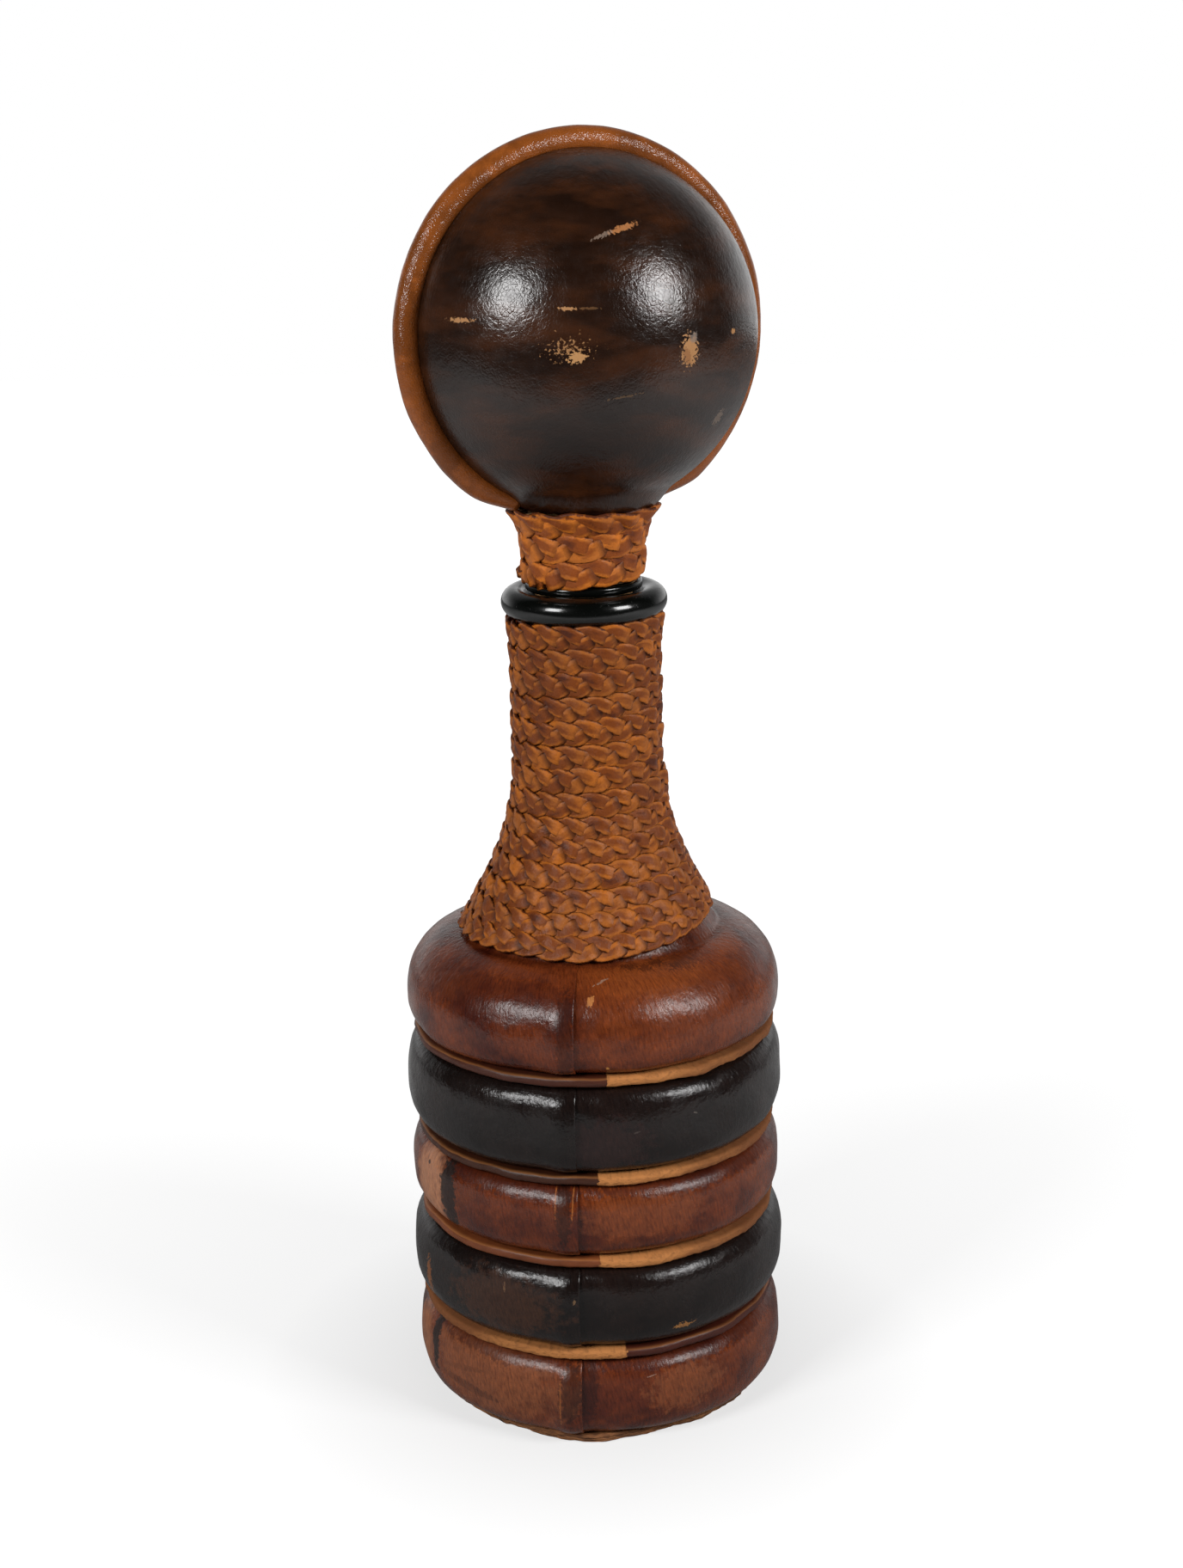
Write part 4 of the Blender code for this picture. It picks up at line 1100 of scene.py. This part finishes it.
def plait(name, surface_line, turns, seed, early, late, size=1.0, lean_out=0.0, climb=0.0, knot=None):
    """Three flat strands plaited together and wound up a turned surface.

    The loops are spaced as if there were so many turns, and the strands start early and end late by the
    given parts of a turn, pressed against the surface's two rims. The strands' width grows with size, and
    the plait's period with its square. The lowest loop climbs further on its right side, and knot is the
    turn at which the strands were joined and stand out.
    """
    width = sizes().strand_width * size
    thickness = sizes().strand_thickness
    period = sizes().plait_period * size ** 2
    line = np.array(offset(surface_line, -(SEAT_GAP + BRAID_THICKNESS / 2 + PLAIT_STANDOFF)))
    run = run_along(line)
    pitch = (run[-1] + BRAID_GAP - 2 * SEAT_GAP) / (turns + 1)
    first_up = SEAT_GAP + (pitch - BRAID_GAP) / 2
    fine = np.linspace(-early, turns + late, 6000)
    steps = np.interp(first_up + pitch * fine, run, line[:, 0])[1:] * FULL_TURN * np.diff(fine)
    length = np.concatenate([[0], np.cumsum(steps)])
    count = math.ceil(length[-1] / (period / PERIOD_POINTS))
    along = np.linspace(0, length[-1], count)
    turn = np.interp(along, length, fine)
    random = np.random.default_rng(seed)
    swing = wander(random, along, count // 14)
    drift = wander(random, along, count // 40)
    phase = FULL_TURN * along / period + 0.8 * drift
    angle = BRAID_START + FULL_TURN * turn
    squeeze = ease(turn, 0.16, 0.42) * (1 - ease(turn, 0.5, 0.95)) if climb else np.zeros(count)
    pressed = 1 - ease(turn, 0.05, 0.25) if climb else np.zeros(count)
    middle_up = first_up + pitch * np.clip(turn, -0.1, turns + 0.12) + climb * squeeze + 0.0010 * pressed
    swing *= 1 - squeeze
    drift *= 1 - pressed
    section = strand_section(name + "_section", width, thickness)
    slope = np.gradient(line, run, axis=0)
    strands = []
    for number in range(3):
        own = phase + number * FULL_TURN / 3
        side = sizes().plait_reach * (1 + 0.18 * swing - 0.4 * squeeze)
        side *= (np.sin(own) - 0.08 * np.sin(3 * own)) / 1.08
        crossing = -np.sin(2 * own) - 0.30 * np.cos(own)
        cell = np.floor(own / math.pi + 0.5).astype(int)
        cell -= cell.min()
        handled = random.uniform(-0.50, 0.50, cell.max() + 1)[cell]
        lift = STRAND_LIFT * crossing - side * lean_out
        if knot:
            lift = lift + KNOT_LIFT * np.exp(-((turn - knot) / KNOT_SPREAD) ** 2)
        place = np.clip(middle_up + side + 0.0004 * drift, 0, run[-1])
        lean = np.arctan2(np.interp(place, run, slope[:, 0]), np.interp(place, run, slope[:, 1]))
        radius = np.interp(place, run, line[:, 0]) + lift * np.cos(lean)
        height = np.interp(place, run, line[:, 1]) - lift * np.sin(lean)
        fullness = 1 + 0.13 * wander(random, along, count // 9)
        fullness *= 1 - 0.20 * np.sin(own) ** 6
        tapered = ease(np.minimum(along, length[-1] - along), 0, STRAND_TAPER)
        fullness *= 0.4 + 0.6 * tapered - 0.2 * (squeeze + pressed)
        tilt = lean - lean_out + 0.05 * wander(random, along, count // 9)
        made = strand("%s_%d" % (name, number + 1), unpolar(radius, angle, height), tilt, fullness, section)
        around = len(section.data.splines[0].points)
        index = np.arange(len(made.data.vertices))
        ring = np.minimum(index // around, count - 1)
        turns_of = np.linspace(0, FULL_TURN, around, endpoint=False)[index % around]
        across = rounded(np.cos(turns_of), STRAND_FULLNESS)
        write_wrap(made, along[ring] + number, across * width / 2, edge=np.abs(across),
                   raised=crossing[ring], handled=handled[ring])
        points = points_of(made)
        points[:, :2] *= 1 + 0.00012 * ripple(points, 0.004, seed + number)[:, None] / SHAFT_RADIUS
        move_points(made, points)
        strands.append(made)
    bpy.data.objects.remove(section)
    return strands


def cork_plug():
    """The cork, bored for the stem's peg."""
    inner = PEG_RADIUS + SEAT_GAP
    profile = [(inner, CORK_TOP), (CORK_RADIUS, CORK_TOP), (CORK_RADIUS, CORK_BASE + CORK_CHAMFER),
               (CORK_RADIUS - CORK_CHAMFER, CORK_BASE), (inner, CORK_BASE), (inner, CORK_TOP)]
    return turned("cork", evenly(profile, CORK_STEP), SMALL_STEPS)


def glass_collar():
    """The dark ring that rests in the bottle's mouth."""
    inner = PEG_RADIUS + SEAT_GAP
    corner_radius = COLLAR_RADIUS - COLLAR_CORNER
    profile = [(inner, COLLAR_TOP)]
    profile += arc((corner_radius, COLLAR_TOP - COLLAR_CORNER), COLLAR_CORNER, 90, 0, 6)
    profile += arc((corner_radius, COLLAR_BASE + COLLAR_CORNER), COLLAR_CORNER, 0, -90, 6)
    return turned("collar", profile + [(inner, COLLAR_BASE), (inner, COLLAR_TOP)], SMALL_STEPS)


def dome_profile():
    """A dome's profile about the seam's normal, from its pole down to the piping."""
    low = math.degrees(math.asin((PIPING_RADIUS + DOME_SETBACK) / DOME_RADIUS))
    return arc((0, -DOME_SETBACK), DOME_RADIUS, 90, low - 1, 48)


def place_on_ball(piece, tip=90):
    """Puts a piece whose own Z is the normal of the ball's seam at the ball's centre."""
    piece.location = BALL_CENTRE
    piece.rotation_euler = (math.radians(tip), 0, BALL_TURN)
    select_only(piece)
    bpy.ops.object.transform_apply(location=True, rotation=True, scale=True)
    return piece


def cut_for_stem(piece):
    """Cuts the hole for the top of the stem."""
    bpy.ops.object.select_all(action="DESELECT")
    bpy.ops.mesh.primitive_cylinder_add(vertices=48, radius=SPIGOT_RADIUS + SEAT_GAP, depth=0.03,
                                        location=(0, 0, STEM_TOP))
    tool = bpy.context.object
    hole = piece.modifiers.new("Hole", "BOOLEAN")
    hole.operation = "DIFFERENCE"
    hole.solver = "EXACT"
    hole.object = tool
    apply_modifier(piece, hole)
    bpy.data.objects.remove(tool)


def dome(name, tip):
    """One leather half of the ball, with a hole for the stem, whose head presses the leather in round it."""
    made = place_on_ball(turned(name, dome_profile(), BALL_STEPS), tip)
    give_wall(made, DOME_THICKNESS)
    cut_for_stem(made)
    points = points_of(made)
    away = points - np.array(BALL_CENTRE)
    level, angle = polar(away)
    facing = FRONT + BALL_TURN + (0 if tip > 0 else math.pi)
    from_seam = DOME_SETBACK + away[:, 0] * math.cos(facing) + away[:, 1] * math.sin(facing)
    reach = DOME_RADIUS ** 2 - level ** 2 - DOME_SETBACK * (2 * from_seam - DOME_SETBACK)
    sphere = BALL_CENTRE[2] - np.sqrt(np.maximum(0, reach))
    seat = STEM_TOP + SEAT_GAP + SEAT_SLOPE * np.maximum(0, level - SEAT_RADIUS)
    foot = (1 - ease(level, *SEAT_BLEND)) * (away[:, 2] < 0)
    points[:, 2] -= foot * np.maximum(0, sphere - seat)
    move_points(made, points)
    round_turn = np.mod(angle - facing + math.pi, FULL_TURN) - math.pi
    write_wrap(made, DOME_RADIUS * round_turn, DOME_RADIUS * np.arctan2(away[:, 2], level))
    return made


def seam_ring(name, profile):
    """Turns a profile round the ball's seam, except where the stem is."""
    return turned(name, profile, RING_STEPS, start=PIPING_BREAK - math.pi / 2,
                  sweep=FULL_TURN - 2 * PIPING_BREAK)


def drawn_in(points):
    """The points of a ring on the ball's seam, pressed toward the ball where it ends beside the stem."""
    radius, angle = polar(points)
    from_foot = np.abs(np.mod(angle + math.pi / 2 + math.pi, FULL_TURN) - math.pi)
    pressed = 1 - ease(from_foot, PIPING_BREAK, PIPING_BREAK + PIPING_TAPER)
    reach = PIPING_REACH - 0.0010 * pressed + (radius - PIPING_REACH) * (1 - 0.35 * pressed)
    points[:, :2] *= (reach / radius)[:, None]
    return points


def piping_roll():
    """The leather rolled round the cord on the ball's seam, broken at the foot where the stem is."""
    half = math.degrees(math.pi - PIPING_OPENING / 2)
    roll = seam_ring("piping", arc((PIPING_REACH, 0), PIPING_RADIUS, half, -half, 25))
    points = points_of(roll)
    radius = polar(points)[0]
    out = ease(radius, PIPING_REACH - PIPING_RADIUS, PIPING_REACH + PIPING_RADIUS)
    grown = radius + out * (0.00008 * ripple(points, 0.022, 3) + 0.00004 * ripple(points, 0.006, 4))
    points[:, :2] *= (grown / radius)[:, None]
    move_points(roll, drawn_in(points))
    give_wall(roll, PIPING_THICKNESS)
    return place_on_ball(roll)


def filler():
    """The three-ply cord inside the piping."""
    inner = PIPING_RADIUS - PIPING_THICKNESS - SEAT_GAP - CORD_PLAY
    cord = seam_ring("filler", arc((PIPING_REACH, 0), inner, 0, 360, 25))
    points = points_of(cord)
    radius, angle = polar(points)
    across = np.arctan2(points[:, 2], radius - PIPING_REACH)
    ply = 1 - 0.10 * (1 - np.abs(np.cos(1.5 * (across + CORD_TWISTS * angle))))
    reach = np.hypot(radius - PIPING_REACH, points[:, 2]) * ply
    twisted = unpolar(PIPING_REACH + reach * np.cos(across), angle, reach * np.sin(across))
    move_points(cord, drawn_in(twisted))
    return place_on_ball(cord)


# Stage
def aim(piece, target, roll=0.0):
    """Turns a lamp or the camera toward a point."""
    away = (Vector(target) - piece.location).to_track_quat("-Z", "Y").to_matrix().to_4x4()
    piece.matrix_world = Matrix.Translation(piece.location) @ away @ Matrix.Rotation(roll, 4, "Z")


def softbox(name, place):
    bpy.ops.object.light_add(type="AREA", location=place)
    lamp = bpy.context.object
    lamp.name = name
    lamp.data.shape = "SQUARE"
    lamp.data.size = SOFTBOX_SIDE
    lamp.data.energy = SOFTBOX_WATTS
    aim(lamp, SOFTBOX_TARGET)


def studio_world():
    """White toward the camera, and a room that is dark above and in front of the object, pale behind it."""
    world = bpy.data.worlds.new("studio")
    bpy.context.scene.world = world
    world.use_nodes = True
    tree = world.node_tree
    tree.nodes.clear()
    path = add(tree, "ShaderNodeLightPath", out="Is Camera Ray")
    direction = add(tree, "ShaderNodeTexCoord", out="Generated")
    toward_back = add(tree, "ShaderNodeSeparateXYZ", {0: direction}, out="Y")
    upward = add(tree, "ShaderNodeSeparateXYZ", {0: direction}, out="Z")
    wall = add(tree, "ShaderNodeMapRange", {0: toward_back, 1: 0.35, 2: 0.75, 3: 0.05, 4: 0.95})
    ceiling = add(tree, "ShaderNodeMapRange", {0: upward, 1: 0.10, 2: 0.42, 3: 1.0, 4: 0.28})
    walls = add(tree, "ShaderNodeMath", {0: wall, 1: ceiling}, operation="MULTIPLY")
    strength = add(tree, "ShaderNodeMix", {0: path, 2: walls, 3: 1.0})
    light = add(tree, "ShaderNodeBackground", {"Color": (1, 1, 1, 1), "Strength": strength})
    add(tree, "ShaderNodeOutputWorld", {"Surface": light})


def floor_material():
    """A matt white sheet that ends in front of the object, keeps the shadow by its foot, adds painted shadow,
    fades out.
    """
    made, tree, place = new_material("white paper sweep")
    path = add(tree, "ShaderNodeLightPath", out="Is Camera Ray")
    away = add(tree, "ShaderNodeVectorMath", {0: place}, out="Value", operation="LENGTH")
    # The floor glows less close round the foot: a painted shadow added to the real one.
    glow_with_painted_shadow = add(tree, "ShaderNodeMapRange", {0: away, 1: 0.055, 2: 0.11, 3: 0.63, 4: 0.77})
    far = add(tree, "ShaderNodeMapRange", {0: away, 1: 0.11, 2: 0.80, 4: 0.30})
    paleness = add(tree, "ShaderNodeMath", {0: glow_with_painted_shadow, 1: far}, operation="ADD")
    matt = add(tree, "ShaderNodeBsdfDiffuse", {"Color": (0.32, 0.32, 0.32, 1)})
    glow = add(tree, "ShaderNodeEmission", {"Color": (1, 1, 1, 1), "Strength": paleness})
    shown = add(tree, "ShaderNodeAddShader", {0: matt, 1: glow})
    sheet = add(tree, "ShaderNodeMapRange", {0: away, 1: 0.12, 2: 0.45, 3: 0.42, 4: 0.85})
    forward = add(tree, "ShaderNodeSeparateXYZ", {0: place}, out="Y")
    front_edge = add(tree, "ShaderNodeMapRange", {0: forward, 1: -0.60, 2: -0.40, 3: 0.10, 4: 1.0})
    sheet = add(tree, "ShaderNodeMath", {0: sheet, 1: front_edge}, operation="MULTIPLY")
    other = add(tree, "ShaderNodeBsdfDiffuse", {"Color": sheet})
    lit = add(tree, "ShaderNodeMixShader", {0: path, 1: other, 2: shown})
    add(tree, "ShaderNodeOutputMaterial", {"Surface": lit})
    return made


# Operators
class DECANTER_OT_stage(bpy.types.Operator):
    """Sets up the camera, two softboxes, the world and the floor"""
    bl_idname = "decanter.stage"
    bl_label = "Stage"

    def execute(self, context):
        bpy.ops.object.camera_add(location=CAMERA_PLACE)
        camera = context.object
        camera.data.lens = CAMERA_LENS
        camera.data.sensor_width = SENSOR_WIDTH
        aim(camera, CAMERA_TARGET, CAMERA_ROLL)
        context.scene.camera = camera
        softbox("left_softbox", LEFT_SOFTBOX)
        softbox("right_softbox", RIGHT_SOFTBOX)
        studio_world()
        bpy.ops.mesh.primitive_grid_add(x_subdivisions=8, y_subdivisions=8, size=6, location=(0, 0, 0))
        floor = context.object
        floor.name = "floor"
        floor.data.materials.append(floor_material())
        context.scene.view_settings.view_transform = "Standard"
        return {"FINISHED"}


class DECANTER_OT_base(bpy.types.Operator):
    """Makes the leather sole and finishes the board inside the lowest band"""
    bl_idname = "decanter.base"
    bl_label = "Sole and board"

    def execute(self, context):
        finish_piece(sole_disc(), "bottle", "base_sole", sole_leather())
        refinish("base_board", fibre_board())
        return {"FINISHED"}


class DECANTER_OT_bands(bpy.types.Operator):
    """Makes the five padded leather bands with the felt inside them"""
    bl_idname = "decanter.bands"
    bl_label = "Bands"

    def execute(self, context):
        felt = wool_felt()
        for number in range(1, 6):
            node = "shoulder_cover" if number == 1 else "band_cover_%d" % number
            pad = "shoulder_pad" if number == 1 else "band_pad_%d" % number
            leather = cover_leather("waxed cowhide, band %d" % number, *cover_shades(number),
                                    marks=COVER_MARKS_AND_SHADE[number])
            cover = finish_piece(dressed_cover(number), "bottle", node, leather)
            ring = finish_piece(padding_ring(number), "bottle", pad, felt)
        return {"FINISHED"}


class DECANTER_OT_welts(bpy.types.Operator):
    """Makes the four narrow welts between the bands"""
    bl_idname = "decanter.welts"
    bl_label = "Welts"

    def execute(self, context):
        for number in range(1, 5):
            finish_piece(welt_ring(number), "bottle", "welt_%d" % number,
                         welt_leather("raw-edged welt leather %d" % number, *WELT_SKINS[number]))
        return {"FINISHED"}


class DECANTER_OT_bottle(bpy.types.Operator):
    """Makes the glass bottle with its rounded lip"""
    bl_idname = "decanter.bottle"
    bl_label = "Glass bottle"

    def execute(self, context):
        finish_piece(bottle_shell(), "bottle", "glass_bottle", bottle_glass())
        return {"FINISHED"}


class DECANTER_OT_neck(bpy.types.Operator):
    """Makes the neck's leather and the plait wound round it"""
    bl_idname = "decanter.neck"
    bl_label = "Neck and its plait"

    def execute(self, context):
        leather = cover_leather("waxed cowhide, neck", *cover_shades(3))
        finish_piece(neck_sheet(), "bottle", "neck_liner", leather)
        tan = plait_leather("plaited tan leather, neck", shades().plait)
        for made in plait("neck_strand", neck_surface(), BRAID_TURNS, 7, 0.1, 0.97, lean_out=-0.05,
                          climb=0.003, knot=6.43):
            finish_piece(made, "bottle", "neck_braid", tan)
        return {"FINISHED"}


class DECANTER_OT_stopper(bpy.types.Operator):
    """Makes the cork, the glass collar and the plait round the stem"""
    bl_idname = "decanter.stopper"
    bl_label = "Cork, collar and stem"

    def execute(self, context):
        finish_piece(cork_plug(), "cork", "cork_sleeve", natural_cork())
        finish_piece(glass_collar(), "cork", "stopper_collar", bottle_glass())
        tan = plait_leather("plaited tan leather, stem", scaled(shades().plait, 1.38))
        for made in plait("stem_strand", stem_surface(), STEM_TURNS, 21, 0.5, 0.95, size=1.16):
            finish_piece(made, "stopper", "stem_braid", tan)
        refinish("stem_core", beech_wood())
        return {"FINISHED"}


class DECANTER_OT_ball(bpy.types.Operator):
    """Makes the ball's two leather halves, its piping and the cord inside it"""
    bl_idname = "decanter.ball"
    bl_label = "Ball"

    def execute(self, context):
        front = ball_leather("polished black-brown calf, front", BALL_MARKS)
        back = ball_leather("polished black-brown calf, back", [])
        finish_piece(dome("dome_front", 90), "stopper", "front_dome", front)
        finish_piece(dome("dome_back", -90), "stopper", "back_dome", back)
        finish_piece(piping_roll(), "stopper", "rim_piping", piping_leather())
        finish_piece(filler(), "stopper", "rim_cord", cotton_cord())
        refinish("ball_core", beech_wood())
        return {"FINISHED"}


class DECANTER_PT_panel(bpy.types.Panel):
    """Lists the decanter's settings and its pieces"""
    bl_idname = "DECANTER_PT_panel"
    bl_label = "Leather decanter"
    bl_space_type = "VIEW_3D"
    bl_region_type = "UI"
    bl_category = "Decanter"

    def draw(self, context):
        for group in (context.scene.decanter_sizes, context.scene.decanter_colours):
            for name in group.bl_rna.properties.keys():
                if name not in ("rna_type", "name"):
                    self.layout.prop(group, name)
        for operator in OPERATORS:
            self.layout.operator(operator.bl_idname)


OPERATORS = (DECANTER_OT_stage, DECANTER_OT_base, DECANTER_OT_bands, DECANTER_OT_welts, DECANTER_OT_bottle,
             DECANTER_OT_neck, DECANTER_OT_stopper, DECANTER_OT_ball)
CLASSES = (DecanterSizes, DecanterColours, *OPERATORS, DECANTER_PT_panel)


def register():
    for each in CLASSES:
        bpy.utils.register_class(each)
    bpy.types.Scene.decanter_sizes = bpy.props.PointerProperty(type=DecanterSizes)
    bpy.types.Scene.decanter_colours = bpy.props.PointerProperty(type=DecanterColours)


def unregister():
    del bpy.types.Scene.decanter_sizes
    del bpy.types.Scene.decanter_colours
    for each in reversed(CLASSES):
        bpy.utils.unregister_class(each)


def main():
    register()
    bpy.ops.decanter.stage()
    bpy.ops.decanter.base()
    bpy.ops.decanter.bands()
    bpy.ops.decanter.welts()
    bpy.ops.decanter.bottle()
    bpy.ops.decanter.neck()
    bpy.ops.decanter.stopper()
    bpy.ops.decanter.ball()


if __name__ == "__main__":
    main()
